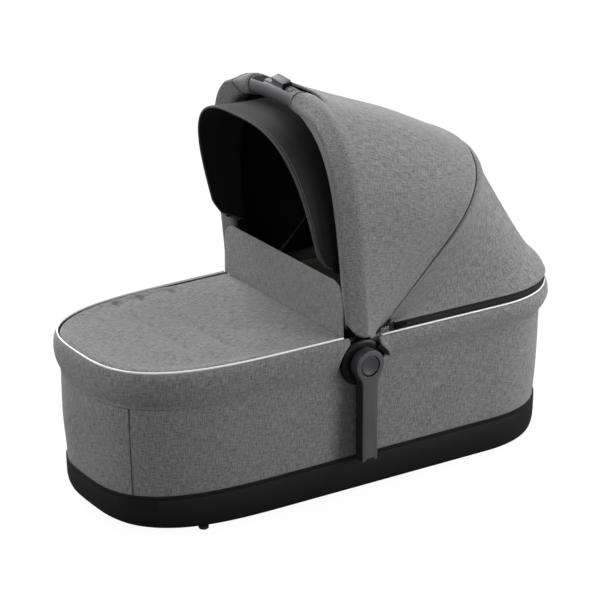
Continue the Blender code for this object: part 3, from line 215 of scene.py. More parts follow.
@dataclass(frozen=True)
class Finish:
    """A finish: one material, made the first time that it is used."""

    name: str
    colour: Colour
    roughness: float

    def material(self) -> bpy.types.Material:
        """The material of this finish."""
        known = bpy.data.materials.get(self.name)
        if known:
            return known
        graph = Graph(self.name)
        graph.set(Base_Color=(*self.colour, 1.0), Roughness=self.roughness)
        self.shade(graph)
        graph.material.diffuse_color = (*self.colour, 1.0)
        return graph.material

    def shade(self, graph: Graph) -> None:
        """Add this finish's detail; a plain one has none."""


@dataclass(frozen=True)
class Melange(Finish):
    """Woven cloth of mottled yarns, light and dark."""

    light: Colour = (0.32, 0.32, 0.325)
    weave: Weave = Weave.COVER
    thread: float = 0.0015
    contrast: float = 1.5

    def shade(self, graph: Graph) -> None:
        """Streaks along both thread directions, heather flecks and a fine weave."""
        fine = 1.0 / self.thread
        warp = graph.grain(self.weave, (fine, fine / 9, fine / 9))
        weft = graph.grain(self.weave, (fine / 8, fine, fine))
        fleck = graph.grain(self.weave, (fine * 0.6,) * 3, 2.0)
        cloud = graph.grain(self.weave, (14.0,) * 3, 2.0)
        tone = warp * 0.40 + weft * 0.34 + fleck * 0.20 + cloud * 0.06
        spread = 0.17 / self.contrast
        share = tone.between(0.5 - spread, 0.5 + spread)
        graph.set(Base_Color=graph.mix(share, self.colour, self.light))
        graph.set(Sheen_Weight=0.12, Sheen_Roughness=0.6, Specular_IOR_Level=0.2)
        graph.bump(warp * 0.5 + weft * 0.5 + fleck * 0.3, self.thread * 0.3, 0.8)


@dataclass(frozen=True)
class Coated(Finish):
    """Smooth coated cloth with a fine rib."""

    sheen: float = 0.1
    # Where across the cloth the painted shade beside the hood begins and ends.
    fade: Optional[tuple[float, float]] = None

    def shade(self, graph: Graph) -> None:
        """A fine rib and faint clouds, with painted shade that turns the cloth near black across a band
        towards its rear edge.
        """
        rib = graph.grain(Weave.COVER, (1500.0, 400.0, 400.0))
        cloud = graph.grain(Weave.COVER, (20.0,) * 3, 3.0)
        dark = tuple(c * 0.8 for c in self.colour)
        light = tuple(c * 1.2 for c in self.colour)
        tone = graph.mix(rib * 0.6 + cloud * 0.4, dark, light)
        # Painted shade: towards its rear edge the cloth turns near black, as in the hood's shadow.
        if self.fade:
            base = graph.pattern(Weave.COVER, (1.0, 1.0, 1.0))
            across = graph.node("ShaderNodeSeparateXYZ", sockets={0: base}, out=1)
            tone = graph.mix(across.between(*self.fade), tone, tuple(c * 0.08 for c in self.colour))
        graph.set(Base_Color=tone)
        graph.set(Sheen_Weight=self.sheen, Specular_IOR_Level=0.3)
        graph.bump(rib, 0.0002, 0.5)


@dataclass(frozen=True)
class Moulded(Finish):
    """Moulded plastic or rubber with a spark-eroded grain."""

    grain: float = 1800.0
    depth: float = 0.00006
    shine: float = 0.5

    def shade(self, graph: Graph) -> None:
        """A fine grain, soft roughness clouds and a little handling wear."""
        fine = graph.grain(Weave.SOLID, (self.grain,) * 3, 2.0)
        cloud = graph.grain(Weave.SOLID, (22.0,) * 3, 3.0)
        worn = tuple(min(c * 1.25 + 0.002, 1.0) for c in self.colour)
        graph.set(Base_Color=graph.mix((fine * 0.5 + cloud * 0.5).between(0.35, 0.8), self.colour, worn))
        graph.set(Roughness=self.roughness + (cloud - 0.5) * 0.16 + (fine - 0.5) * 0.1)
        graph.set(Specular_IOR_Level=self.shine)
        graph.bump(fine, self.depth, 0.6)


@dataclass(frozen=True)
class Metal(Finish):
    """Drawn or turned metal with fine scratches along it."""

    def shade(self, graph: Graph) -> None:
        """Scratches and clouded roughness."""
        scratch = graph.grain(Weave.SOLID, (2500.0, 2500.0, 60.0))
        cloud = graph.grain(Weave.SOLID, (40.0,) * 3, 3.0)
        graph.set(Metallic=1.0, Roughness=self.roughness + (cloud - 0.5) * 0.2)
        graph.bump(scratch, 0.00003, 0.5)


@dataclass(frozen=True)
class Reflective(Finish):
    """Reflective piping of glass beads on a white film."""

    def shade(self, graph: Graph) -> None:
        """Bead grain over white, with a weak emission that paints a glow on the piping."""
        bead = graph.grain(Weave.COVER, (3000.0,) * 3)
        dim = tuple(c * 0.86 for c in self.colour)
        graph.set(Base_Color=graph.mix(bead.between(0.3, 0.7), dim, self.colour), Coat_Weight=0.4)
        # Painted glow: a weak white emission, though the piping is no lamp.
        graph.set(Emission_Color=(*self.colour, 1.0), Emission_Strength=0.22)
        graph.bump(bead, 0.00005, 0.5)


@dataclass(frozen=True)
class Clear(Finish):
    """Clear moulded plastic."""

    def shade(self, graph: Graph) -> None:
        """Let light through a slightly hazy wall."""
        haze = graph.grain(Weave.SOLID, (300.0,) * 3, 2.0)
        graph.set(Transmission_Weight=0.8, IOR=1.45, Roughness=self.roughness + haze * 0.1)


GREY = (0.135, 0.135, 0.137)
MELANGE = Melange("grey_melange", GREY, 0.95)
MELANGE_PAD = Melange("grey_melange_pad", GREY, 0.95, thread=0.0016)
# A lighter copy of the grey melange for the wind flap: painted light.
MELANGE_FLAP_LIT = Melange("grey_melange_flap_lit", (0.165, 0.165, 0.167), 0.95, thread=0.0016)
LINING = Melange("lining_weave", (0.3, 0.302, 0.27), 0.95, (0.42, 0.425, 0.38), thread=0.0009)
COTTON = Melange("mattress_cotton", (0.56, 0.56, 0.54), 0.95, (0.7, 0.7, 0.68), thread=0.0008)
# The visor's cloth carries painted shade, near black towards its rear edge beside the hood.
VISOR_CLOTH = Coated("visor_cloth", (0.022, 0.022, 0.023), 0.85, sheen=0.03, fade=(0.034, 0.050))
VISOR_LINING = Coated("visor_lining", (0.003, 0.003, 0.003), 0.95, sheen=0.0)
VISOR_EDGE = Coated("visor_edge_tape", (0.07, 0.07, 0.072), 0.8, sheen=0.05)
HOOD_LINING = Coated("hood_lining", (0.0025, 0.0025, 0.0025), 0.95, sheen=0.0)
ZIP_CLOTH = Coated("zip_cloth", (0.010, 0.010, 0.011), 0.85, sheen=0.02)
# Near black cord: the zip's coil and the sleeve stitching, and painted shade in the hood's and sleeve's seam
# lines.
THREAD_AND_SEAM_SHADE = Melange("seam_shadow", (0.02, 0.02, 0.021), 0.95, (0.045, 0.045, 0.045))
# Darker cord along the wall's seams: painted shade of the seam lines.
WALL_SEAM_SHADE = Melange("wall_seam_shadow", (0.06, 0.06, 0.061), 0.95, (0.12, 0.12, 0.12))
TRAY = Moulded("tray_moulding", (0.0055, 0.0055, 0.0058), 0.7, grain=1400.0, shine=0.18)
POST = Moulded("post_moulding", (0.085, 0.085, 0.09), 0.5, shine=0.3)
# Darker finishes for the post's sides: partly the moulding's own tone, partly painted shade. POST_SIDE also
# goes on the handle arms.
POST_SIDE = Moulded("post_moulding_side", (0.012, 0.012, 0.013), 0.55, shine=0.2)
POST_HEAD = Moulded("post_moulding_head", (0.034, 0.034, 0.037), 0.38, shine=0.4)
POST_DARK = Moulded("post_moulding_dark", (0.003, 0.003, 0.0035), 0.7, shine=0.05)
GRIP = Moulded("grip_moulding", (0.085, 0.085, 0.09), 0.5, grain=1500.0, shine=0.4)
HUB = Moulded("hub_moulding", (0.004, 0.004, 0.0044), 0.34, grain=2200.0, depth=0.00003, shine=0.2)
BUTTON = Moulded("button_moulding", (0.055, 0.055, 0.058), 0.42, shine=0.35)
BOARD = Moulded("board_sheet", (0.3, 0.3, 0.3), 0.7, grain=500.0)
RUBBER = Moulded("foot_rubber", (0.02, 0.02, 0.02), 0.9, grain=900.0, depth=0.0001)
STEEL = Metal("steel_wire", (0.5, 0.5, 0.5), 0.35)
ALUMINIUM = Metal("drawn_tube", (0.6, 0.6, 0.62), 0.4)
PIPING = Reflective("reflective_piping", (0.9, 0.9, 0.9), 0.35)
CLEAR = Clear("clear_moulding", (0.5, 0.5, 0.5), 0.2)


# Mesh building


def curve_through(points: Sequence[Vector], share: float, knots: Optional[Sequence[float]] = None) -> Vector:
    """A smooth line through points.

    Args:
        points: the points that the line passes.
        share: how far along.
        knots: the share at each point, evenly spread if not given.

    Returns:
        The place on the line.
    """
    last = len(points) - 1
    share = clamp(share)
    if knots is None:
        k = min(int(share * last), last - 1)
        t = share * last - k
    else:
        k = min(max(bisect_right(knots, share) - 1, 0), last - 1)
        t = (share - knots[k]) / (knots[k + 1] - knots[k])
    step = points[k + 1] - points[k]
    long = max(step.length, TINY)

    def slope(middle: int) -> Vector:
        """The line's tangent at an inner point, for this step's length."""
        before, after = points[middle] - points[middle - 1], points[middle + 1] - points[middle]
        near, far = max(before.length, TINY), max(after.length, TINY)
        return (before * (far / near) + after * (near / far)) * (long / (near + far))

    first = slope(k) if k else step
    second = slope(k + 1) if k + 1 < last else step
    square, cube = t * t, t * t * t
    turned = first * (cube - 2 * square + t) + second * (cube - square)
    return points[k] + step * (3 * square - 2 * cube) + turned


def clamp(value: float) -> float:
    """The value, held between 0 and 1."""
    return min(max(value, 0.0), 1.0)


def ease(share: float) -> float:
    """A step from 0 to 1 with level ends."""
    share = clamp(share)
    return share * share * (3 - 2 * share)


def bell(away: float, width: float) -> float:
    """1 in the middle, fading both ways over that width."""
    return math.exp(-(away / width) ** 2)


def ripple(place: Vector, size: float, seed: float = 0.0) -> float:
    """Smooth unevenness from about -1 to 1, of that size in metres."""
    return noise.noise(place / size + Vector((seed, seed, seed)))


def last_share(holds: Callable[[float], bool]) -> float:
    """The share from 0 to 1 up to which a test holds, found by halving."""
    low, high = 0.0, 1.0
    for _ in range(30):
        middle = (low + high) / 2
        low, high = (middle, high) if holds(middle) else (low, middle)
    return low


class Pace:
    """Turns an even share of a path's length into the path's own share."""

    def __init__(self, path: Path, steps: int = 900) -> None:
        """Walk the path once and keep the lengths."""
        self.walked = [0.0]
        before = path(0.0)
        for k in range(1, steps + 1):
            after = path(k / steps)
            self.walked.append(self.walked[-1] + (after - before).length)
            before = after
        self.steps = steps
        self.length = self.walked[-1]

    def share(self, even: float) -> float:
        """The path's share at an even share of its length."""
        target = clamp(even) * self.length
        k = min(max(bisect_right(self.walked, target) - 1, 0), self.steps - 1)
        span = self.walked[k + 1] - self.walked[k]
        return (k + ((target - self.walked[k]) / span if span > 0 else 0.0)) / self.steps


class Loom:
    """Lays a bmesh grid over a surface, and closes or caps it."""

    @staticmethod
    def lay(columns: int, rows: int, place: Place, span: tuple[float, float] = (1.0, 1.0),
            keep: Optional[Callable[[float, float], bool]] = None, around: bool = False) -> Mesh:
        """Lay a grid over a surface.

        Args:
            columns: faces along the first share.
            rows: faces along the second share.
            place: the surface, given by two shares from 0 to 1.
            span: the cloth's real length along both shares, for its pattern.
            keep: tells by a face's middle shares whether it stays.
            around: joins the last column to the first.

        Returns:
            The mesh, with its pattern coordinates.
        """
        bm = bmesh.new()
        bmesh.ops.create_grid(bm, x_segments=columns, y_segments=rows, size=0.5)
        half = Vector((0.5, 0.5, 0.0))
        if keep:
            gone = [f for f in bm.faces if not keep(*(f.calc_center_median() + half).xy)]
            bmesh.ops.delete(bm, geom=gone, context="FACES")
        layer = bm.loops.layers.uv.new("cloth")
        for face in bm.faces:
            for loop in face.loops:
                loop[layer].uv = ((loop.vert.co.x + 0.5) * span[0], (loop.vert.co.y + 0.5) * span[1])
        for vert in bm.verts:
            vert.co = place(vert.co.x + 0.5, vert.co.y + 0.5)
        if around:
            bmesh.ops.remove_doubles(bm, verts=bm.verts, dist=WELD)
        return bm

    @staticmethod
    def cap(bm: Mesh) -> Mesh:
        """Fill the open ends and turn all faces outwards."""
        bmesh.ops.remove_doubles(bm, verts=bm.verts, dist=WELD)
        rim = [e for e in bm.edges if e.is_boundary]
        bmesh.ops.holes_fill(bm, edges=rim, sides=0)
        bmesh.ops.recalc_face_normals(bm, faces=bm.faces)
        return bm

    @staticmethod
    def face_out(bm: Mesh, inside: Callable[[Vector], Vector]) -> None:
        """Turn an open sheet's faces away from the point inside it that lies nearest to each."""
        bmesh.ops.recalc_face_normals(bm, faces=bm.faces)
        facing = 0.0
        for face in bm.faces:
            middle = face.calc_center_median()
            facing += face.normal.dot((middle - inside(middle)).normalized()) * face.calc_area()
        if facing < 0:
            bmesh.ops.reverse_faces(bm, faces=bm.faces)

    @staticmethod
    def tube(path: Path, radius: float, columns: int, sides: int, up: Vector = Vector((0, 0, 1))) -> Mesh:
        """A round cord along a path.

        Args:
            path: the cord's middle line.
            radius: its radius.
            columns: steps along it.
            sides: faces around it.
            up: a direction square to the path.

        Returns:
            The capped mesh.
        """
        pace = Pace(path, columns * 3)
        tiny = 0.5 / columns

        def place(u: float, v: float) -> Vector:
            """A point on the cord's surface."""
            middle = path(pace.share(u))
            ahead = path(pace.share(u + tiny)) - path(pace.share(u - tiny))
            beside = ahead.cross(up).normalized()
            over = beside.cross(ahead).normalized()
            turn = math.tau * v
            return middle + beside * (radius * math.cos(turn)) + over * (radius * math.sin(turn))

        return Loom.cap(Loom.lay(columns, sides, place, (pace.length, math.tau * radius)))

    @staticmethod
    def rings(loops: Sequence[Path], columns: int) -> Mesh:
        """A closed body through closed loops, capped at both ends."""
        last = len(loops) - 1
        return Loom.cap(Loom.lay(columns, last, lambda u, v: loops[round(v * last)](u), around=True))

    @staticmethod
    def block(low: Sequence[float], high: Sequence[float], rounding: float, segments: int = 3) -> Mesh:
        """A box between two corners, with its edges rounded."""
        bm = bmesh.new()
        bmesh.ops.create_cube(bm, size=1.0)
        a, b = Vector(low), Vector(high)
        bmesh.ops.scale(bm, vec=b - a, verts=bm.verts)
        bmesh.ops.translate(bm, vec=(a + b) / 2, verts=bm.verts)
        if rounding:
            bmesh.ops.bevel(bm, geom=bm.edges[:], offset=rounding, segments=segments, profile=0.5,
                            affect="EDGES", material=-1)
        return bm

    @staticmethod
    def turned(profile: Sequence[tuple[float, float]], sign: int, steps: int) -> Mesh:
        """A body spun about the hub axis from (radius, side) pairs."""
        bm = bmesh.new()
        line = [bm.verts.new((HUB_X + r, sign * s, HUB_Z)) for r, s in profile]
        edges = [bm.edges.new(pair) for pair in zip(line, line[1:])]
        bmesh.ops.spin(bm, geom=line + edges, cent=HUB_MIDDLE, axis=(0, 1, 0),
                       angle=math.tau, steps=steps, use_merge=True)
        return Loom.cap(bm)


@dataclass
class Workshop:
    """Turns meshes into finished pieces on the carrycot."""

    sharp: float = math.radians(38.0)

    def piece(self, name: str, bm: Mesh, *finishes: Finish, thickness: float = 0.0,
              smooth: bool = False, soft: bool = True, on: tuple[str, ...] = ()) -> Thing:
        """Make an object of a mesh.

        Args:
            name: the piece's name.
            bm: its mesh, which is used up.
            finishes: its finishes; a second one goes on a sheet's inner face.
            thickness: a sheet's thickness, inwards.
            smooth: rounds its faces by one level of subdivision.
            soft: smooth shading over all edges, as on cloth.
            on: its body, its material slot and the CAD nodes that it replaces, to settle it at once.

        Returns:
            The object, at the origin.
        """
        mesh = bpy.data.meshes.new(name)
        bm.to_mesh(mesh)
        bm.free()
        for finish in finishes:
            mesh.materials.append(finish.material())
        mesh.shade_smooth()
        if not soft:
            mesh.set_sharp_from_angle(angle=self.sharp)
        made = bpy.data.objects.new(name, mesh)
        bpy.context.scene.collection.objects.link(made)
        if thickness:
            wall = made.modifiers.new("thickness", "SOLIDIFY")
            wall.thickness, wall.offset, wall.use_even_offset = thickness, -1.0, True
            wall.material_offset = len(finishes) - 1
        if smooth:
            self.soften(made)
        LOG.info("%s: %d faces", name, len(mesh.polygons))
        return self.settle(made, *on) if on else made

    def settle(self, made: Thing, body: str, slot: str, *nodes: str) -> Thing:
        """Let a piece ride on a body, in place of CAD nodes."""
        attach(made, body)
        if nodes:
            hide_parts(*nodes)
        return made

    def carve(self, made: Thing, cutter: Mesh) -> None:
        """Cut a shape out of a piece and bake the result into its mesh."""
        tool = bpy.data.objects.new("cutter", bpy.data.meshes.new("cutter"))
        cutter.to_mesh(tool.data)
        cutter.free()
        bpy.context.scene.collection.objects.link(tool)
        cut = made.modifiers.new("cut", "BOOLEAN")
        cut.operation, cut.solver, cut.object = "DIFFERENCE", "EXACT", tool
        self.bake(made)
        bpy.data.objects.remove(tool)

    @staticmethod
    def soften(made: Thing) -> None:
        """Round a piece's faces by one level of subdivision."""
        finer = made.modifiers.new("smooth", "SUBSURF")
        finer.levels = finer.render_levels = 1

    @staticmethod
    def bake(made: Thing) -> None:
        """Replace a piece's mesh by what its modifiers make of it."""
        graph = bpy.context.evaluated_depsgraph_get()
        mesh = bpy.data.meshes.new_from_object(made.evaluated_get(graph))
        made.modifiers.clear()
        made.data = mesh

    def paint_node(self, finish: Finish, *names: str) -> None:
        """Give CAD nodes that stay in view a finish."""
        for name in names:
            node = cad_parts[name]
            for slot in node.material_slots:
                slot.material = finish.material()
            if not node.material_slots:
                node.data.materials.append(finish.material())
            LOG.info("%s: kept, %s", name, finish.name)


@dataclass
class Stuffing:
    """Fills a closed cover with air until its cloth is tight."""

    voxel: float = 0.004
    pressure: float = 4.0
    frames: int = 20
    rise: float = 0.003
    sink: float = 0.001

    def fill(self, made: Thing, held: Callable[[Vector], bool], out: Vector) -> None:
        """Simulate the cover as cloth with pressure inside.

        Args:
            made: the closed cover.
            held: tells which points are sewn down.
            out: the direction in which it may rise more than it sinks.
        """
        remesh = made.modifiers.new("remesh", "REMESH")
        remesh.mode, remesh.voxel_size = "VOXEL", self.voxel
        Workshop.bake(made)
        start = [v.co.copy() for v in made.data.vertices]
        self.simulate(made, [k for k, co in enumerate(start) if held(co)])
        for vert, before in zip(made.data.vertices, start):
            move = vert.co - before
            lift = min(max(move.dot(out), -self.sink), self.rise)
            aside = move - out * move.dot(out)
            aside *= min(1.0, self.sink / max(aside.length, TINY))
            vert.co = before + out * lift + aside

    def simulate(self, made: Thing, pinned: list[int]) -> None:
        """Run the cloth and keep its last frame."""
        group = made.vertex_groups.new(name="sewn")
        group.add(pinned, 1.0, "REPLACE")
        cloth = made.modifiers.new("cloth", "CLOTH")
        cloth.settings.use_pressure = True
        cloth.settings.uniform_pressure_force = self.pressure
        cloth.settings.effector_weights.gravity = 0.0
        cloth.settings.vertex_group_mass = "sewn"
        cloth.settings.quality = 4
        cloth.collision_settings.use_collision = False
        scene = bpy.context.scene
        for step in range(1, self.frames + 1):
            scene.frame_set(step)
        Workshop.bake(made)
        scene.frame_set(1)


def lay_pattern(made: Thing, across: Callable[[Vector], tuple[float, float]]) -> None:
    """Lay a cloth pattern on a simulated piece by the place of its points."""
    mesh = made.data
    layer = mesh.uv_layers.new(name="cloth")
    for loop in mesh.loops:
        layer.data[loop.index].uv = across(mesh.vertices[loop.vertex_index].co)


# Outlines shared by the covers


@dataclass(frozen=True)
class Plan:
    """The body's outline seen from above, and how it changes with height."""

    half_length: float = 0.4195
    half_width: float = 0.178
    taper: float = 0.0318
    foot: tuple[float, float] = (0.278, 3.05)
    head: tuple[float, float] = (0.167, 2.29)
    end_share: float = 0.5
    lean: float = 0.0026
    lean_height: float = 0.0575
    wall: float = 0.0065
    tray: float = 0.0119

    def side(self, x: float, inset: float) -> float:
        """Half width of the straight sides at x."""
        return (self.half_width - inset) * (1 + self.taper * x / self.half_length)

    def shift(self, height: float) -> float:
        """How far the outline has moved towards the foot end at a height."""
        return -self.lean * clamp((WALL_TOP - height) / self.lean_height)

    def end(self, angle: float, inset: float, foot: bool, scoop: float = 0.0) -> tuple[float, float]:
        """A point of an end's curve.

        Args:
            angle: from 0 at the tip to a quarter turn at the shoulder.
            inset: how far the outline is moved in.
            foot: the foot end or the head end.
            scoop: how much further the foot end is moved in.

        Returns:
            Its x and half width.
        """
        length, power = self.foot if foot else self.head
        drawn = scoop if foot else 0.0
        length -= self.end_share * inset + drawn
        reach = self.half_length - inset - drawn
        x = (reach - length + length * max(math.cos(angle), 0.0) ** (2 / power)) * (-1 if foot else 1)
        half = (self.half_width - inset) * max(math.sin(angle), 0.0) ** (2 / power)
        return x, half * (1 + self.taper * x / self.half_length)

    def wall_inset(self, height: float) -> float:
        """Inset of the fabric wall's outer face, which leans in towards the tray."""
        share = clamp((REAR_SEAM - BAND_HEIGHT - height) / (REAR_SEAM - BAND_HEIGHT - TRAY_TOP))
        return self.wall + share * (self.tray - self.wall)


PLAN = Plan()


class EndWalk:
    """Walks round one end of the body at an even pace, from the near side to the far side."""

    STEPS = 240

    def __init__(self, end_x: float, foot: bool) -> None:
        """Measure the walk once, at the outline itself."""
        self.end_x, self.foot = end_x, foot
        self.angles = [math.pi / 4 * (1 + math.cos(math.pi * k / self.STEPS)) for k in range(self.STEPS + 1)]
        points = [Vector(PLAN.end(a, 0.0, foot)) for a in self.angles]
        self.straight = abs(points[0].x - end_x)
        self.walked = [self.straight]
        for a, b in zip(points, points[1:]):
            self.walked.append(self.walked[-1] + (b - a).length)
        self.length = 2 * self.walked[-1]

    def at(self, share: float, inset: float, height: float, scoop: float = 0.0,
           end_x: Optional[float] = None) -> Vector:
        """A point of the walk.

        Args:
            share: how far along, from the near side to the far side.
            inset: how far the outline is moved in.
            height: the point's height.
            scoop: how much further the foot end is moved in.
            end_x: where the walk starts, if not where it was measured.

        Returns:
            The point.
        """
        target = (1 - abs(2 * share - 1)) * self.walked[-1]
        shift = PLAN.shift(height)
        if target <= self.straight:
            start = self.end_x if end_x is None else end_x
            shoulder = PLAN.end(math.pi / 2, inset, self.foot, scoop)[0] + shift
            x = start + (shoulder - start) * (target / self.straight if self.straight else 1.0)
            half = PLAN.side(x - shift, inset)
        else:
            k = min(max(bisect_right(self.walked, target) - 1, 0), self.STEPS - 1)
            part = (target - self.walked[k]) / (self.walked[k + 1] - self.walked[k])
            angle = self.angles[k] + (self.angles[k + 1] - self.angles[k]) * part
            x, half = PLAN.end(angle, inset, self.foot, scoop)
            x += shift
        return Vector((x, -half if share < 0.5 else half, height))


class RingWalk:
    """Walks once round the whole body."""

    def __init__(self) -> None:
        """Join the walks round both ends."""
        self.front, self.rear = EndWalk(0.0, True), EndWalk(0.0, False)
        self.length = self.front.length + self.rear.length
        self.turn = self.front.length / self.length

    def at(self, share: float, inset: float, height: float, scoop: float = 0.0) -> Vector:
        """A point of the walk: round the foot end to the far side, then back round the head end."""
        if share < self.turn:
            return self.front.at(share / self.turn, inset, height, scoop)
        return self.rear.at((1 - share) / (1 - self.turn), inset, height)


RING = RingWalk()


def hub_point(angle: float, along: float, side: float, reach: float = 0.0) -> Vector:
    """A point in a bow's plane, moved forward of it by reach."""
    x = HUB_X + along * math.cos(angle) - reach * math.sin(angle)
    return Vector((x, side, HUB_Z + along * math.sin(angle) + reach * math.cos(angle)))


@dataclass(frozen=True)
class Arch:
    """A bow's line in its own plane: straight legs and a rounded top."""

    half: float
    shoulder: float
    top: float
    power: float
    start: float
    steps: int = 18

    def pair(self, t: float) -> tuple[float, float]:
        """Side and distance from the hub axis at a share of the line."""
        k = t * self.steps
        if k <= 1 or k >= self.steps - 1:
            share = k if k <= 1 else self.steps - k
            side = -self.half if k <= 1 else self.half
            return side, self.start + (self.shoulder - self.start) * share
        angle = math.pi * (k - 1) / (self.steps - 2)
        across = math.copysign(abs(math.cos(angle)) ** (2 / self.power), math.cos(angle))
        rise = (self.top - self.shoulder) * math.sin(angle) ** (2 / self.power)
        return -self.half * across, self.shoulder + rise


@dataclass(frozen=True)
class HandleBow:
    """The middle line of the handle bow near its top, and rings round it."""

    half: float = 0.166
    top: float = 0.400
    shoulder: float = 0.165
    power: float = 3.3

    def line(self, side: float) -> Vector:
        """The middle line at a distance from the middle plane."""
        across = min(abs(side) / self.half, 1.0) ** self.power
        along = self.shoulder + (self.top - self.shoulder) * (1 - across) ** (1 / self.power)
        return hub_point(HANDLE_ANGLE, along, side)

    def ring(self, side: float, radius: float, turn: float) -> Vector:
        """A point of a ring square to the line.

        Args:
            side: where on the line, as a distance from the middle plane.
            radius: the ring's radius.
            turn: the angle from straight ahead, over the top.

        Returns:
            The point.
        """
        forward = hub_point(HANDLE_ANGLE, 0.0, 0.0, 1.0) - hub_point(HANDLE_ANGLE, 0.0, 0.0)
        ahead = self.line(side + 0.001) - self.line(side - 0.001)
        over = forward.cross(ahead).normalized()
        over = over if over.z > 0 else -over
        return self.line(side) + forward * (radius * math.cos(turn)) + over * (radius * math.sin(turn))


BOW = HandleBow()


# The carrycot's sub-assemblies


@dataclass
class BodyCover:
    """The fabric wall, the bands that hang from the seams, the piping and the lining."""

    shop: Workshop
    wall_thickness: float = 0.0016
    band_thickness: float = 0.0022
    bulge: float = 0.0045
    drop: float = 0.0175
    wall_foot: float = 0.0555
    front_ends: tuple[float, float] = (-0.040, -0.049)
    rear_ends: tuple[float, float] = (0.0147, 0.0215)
    piping: float = 0.0014
    hub_clearance: float = 0.0025
    rear_clearance: float = -0.0025
    seam_share: float = 0.391
    hem_sink: float = 0.0009
    hub_bump: float = 0.0040
    # The rear band's slit: a black sheet laid just proud of the band, painted shade of the gap beside the
    # hub.
    slit: tuple[tuple[float, float], tuple[float, float]] = ((0.0098, 0.2530), (0.0396, 0.2252))
    slit_half: float = 0.0036
    slit_proud: float = 0.0004
    lining: float = 0.0196
    lining_thickness: float = 0.0024
    lining_foot: float = 0.0335
    lining_bottom: float = 0.0128

    def build(self) -> None:
        """Make all the covers of the body."""
        self.build_wall()
        self.build_band("front", FRONT_SEAM, True, *self.front_ends)
        self.build_band("rear", REAR_SEAM, False, *self.rear_ends)
        self.build_slit_shades()
        self.build_lining()

    def build_wall(self) -> None:
        """The wall's woven cover, a little uneven, and its upright seams."""
        low, high = self.wall_foot, WALL_TOP - GAP

        def place(u: float, v: float) -> Vector:
            """A point of the wall's outer face."""
            z = low + (high - low) * v
            flat = RING.at(u, PLAN.wall_inset(z), z)
            near_hub = bell(flat.x - HUB_X, 0.07)
            near_foot = bell(flat.x + 0.40, 0.16)
            open_part = math.sin(math.pi * clamp((z - TRAY_TOP) / 0.14))
            puff = 0.0012 + 0.0008 * ripple(flat, 0.09) + 0.0011 * near_foot * ripple(flat, 0.06, 8.0)
            puff *= open_part * (1 - near_hub)
            return RING.at(u, PLAN.wall_inset(z) - puff, z)

        bm = Loom.lay(320, 26, place, (RING.length, high - low), around=True)
        Loom.face_out(bm, lambda p: Vector((p.x * 0.5, 0, p.z)))
        wall = self.shop.piece("wall_cover", bm, MELANGE, thickness=self.wall_thickness,
                               on=("cot", "grey_fabric", "side_wall"))
        foot, run = TRAY_TOP + 0.0005, FRONT_SEAM - BAND_HEIGHT - TRAY_TOP
        # Dark cords on the wall's upright seams, painted shade of the seam lines.
        for share, name in ((self.seam_share, "near"), (1 - self.seam_share, "far")):
            bm = Loom.tube(lambda t, s=share * RING.turn: RING.at(s, PLAN.wall_inset(foot + run * t) - 0.0009,
                                                                  foot + run * t),
                           0.0008, 36, 8, up=Vector((0, 1, 0)))
            self.shop.piece(f"wall_seam_{name}", bm, WALL_SEAM_SHADE, on=("cot", "grey_fabric"))

    def build_band(self, name: str, seam: float, foot: bool, end_x: float, cord_x: float) -> None:
        """A padded band round one end, its folded hem and its piping.

        Args:
            name: front or rear.
            seam: height of the seam that it hangs from.
            foot: the foot end or the head end.
            end_x: where its ends lie at the seam.
            cord_x: where its piping ends.
        """
        walk = EndWalk(end_x, foot)
        clear = HUB_RADIUS + (self.hub_clearance if foot else self.rear_clearance)
        levels = self.levels(seam, BAND_HEIGHT if foot else REAR_BAND_HEIGHT)
        sign = -1 if foot else 1

        def place(u: float, v: float) -> Vector:
            """A point of the band's outer face."""
            inset, z = curve_through(levels, v)
            reach = clear ** 2 - (z - HUB_Z) ** 2
            edge = HUB_X + sign * math.sqrt(reach) if reach > 0 else end_x
            start = min(end_x, edge) if foot else max(end_x, edge)
            flat = walk.at(u, inset, z, end_x=start)
            inset -= 0.0 if foot else self.bump(flat.x, z)
            wave = 0.0007 * ripple(flat, 0.07, 3.0) + 0.0003 * ripple(flat, 0.02, 7.0)
            wave = (abs(wave) if v < 0.5 else wave) * math.sin(math.pi * v)
            return walk.at(u, inset + wave * min(1.0, 20 * min(u, 1 - u)), z, end_x=start)

        bm = Loom.lay(280, 30, place, (walk.length, 0.075))
        Loom.face_out(bm, lambda p: Vector((p.x * 0.5, 0, p.z)))
        band = self.shop.piece(f"{name}_band_cover", bm, MELANGE, thickness=self.band_thickness,
                               on=("cot", "grey_fabric", f"{name}_band"))
        height = seam + GAP + self.piping
        cord = EndWalk(cord_x, foot)
        bm = Loom.tube(lambda t: cord.at(t, self.piping, height), self.piping, 300, 12)
        self.shop.piece(f"{name}_piping_cord", bm, PIPING, on=("cot", "piping_white", f"{name}_piping"))

    def levels(self, seam: float, height: float) -> list[Vector]:
        """A band's section as (inset, height) pairs, from its seam down to its hem."""
        hem = PLAN.wall_inset(seam - height) - self.hem_sink
        drop = self.drop * height / BAND_HEIGHT
        return [Vector(p) for p in (
            (0.0024, seam - 0.0006), (0.0002, seam - 0.0004), (-0.65 * self.bulge, seam - 0.3 * drop),
            (-self.bulge, seam - drop), (-0.75 * self.bulge, seam - 1.75 * drop),
            (0.15 * self.bulge, seam - 2.6 * drop), (hem - 0.0004, seam - height + 0.0042),
            (hem, seam - height + 0.0004))]

    def bump(self, x: float, z: float) -> float:
        """How far the rear band stands out where it passes over the hub's rim."""
        away = math.hypot(x - HUB_X, z - HUB_Z) - HUB_RADIUS
        low = clamp((REAR_SEAM - z) / 0.012)
        return self.hub_bump * low * bell(away, 0.010)

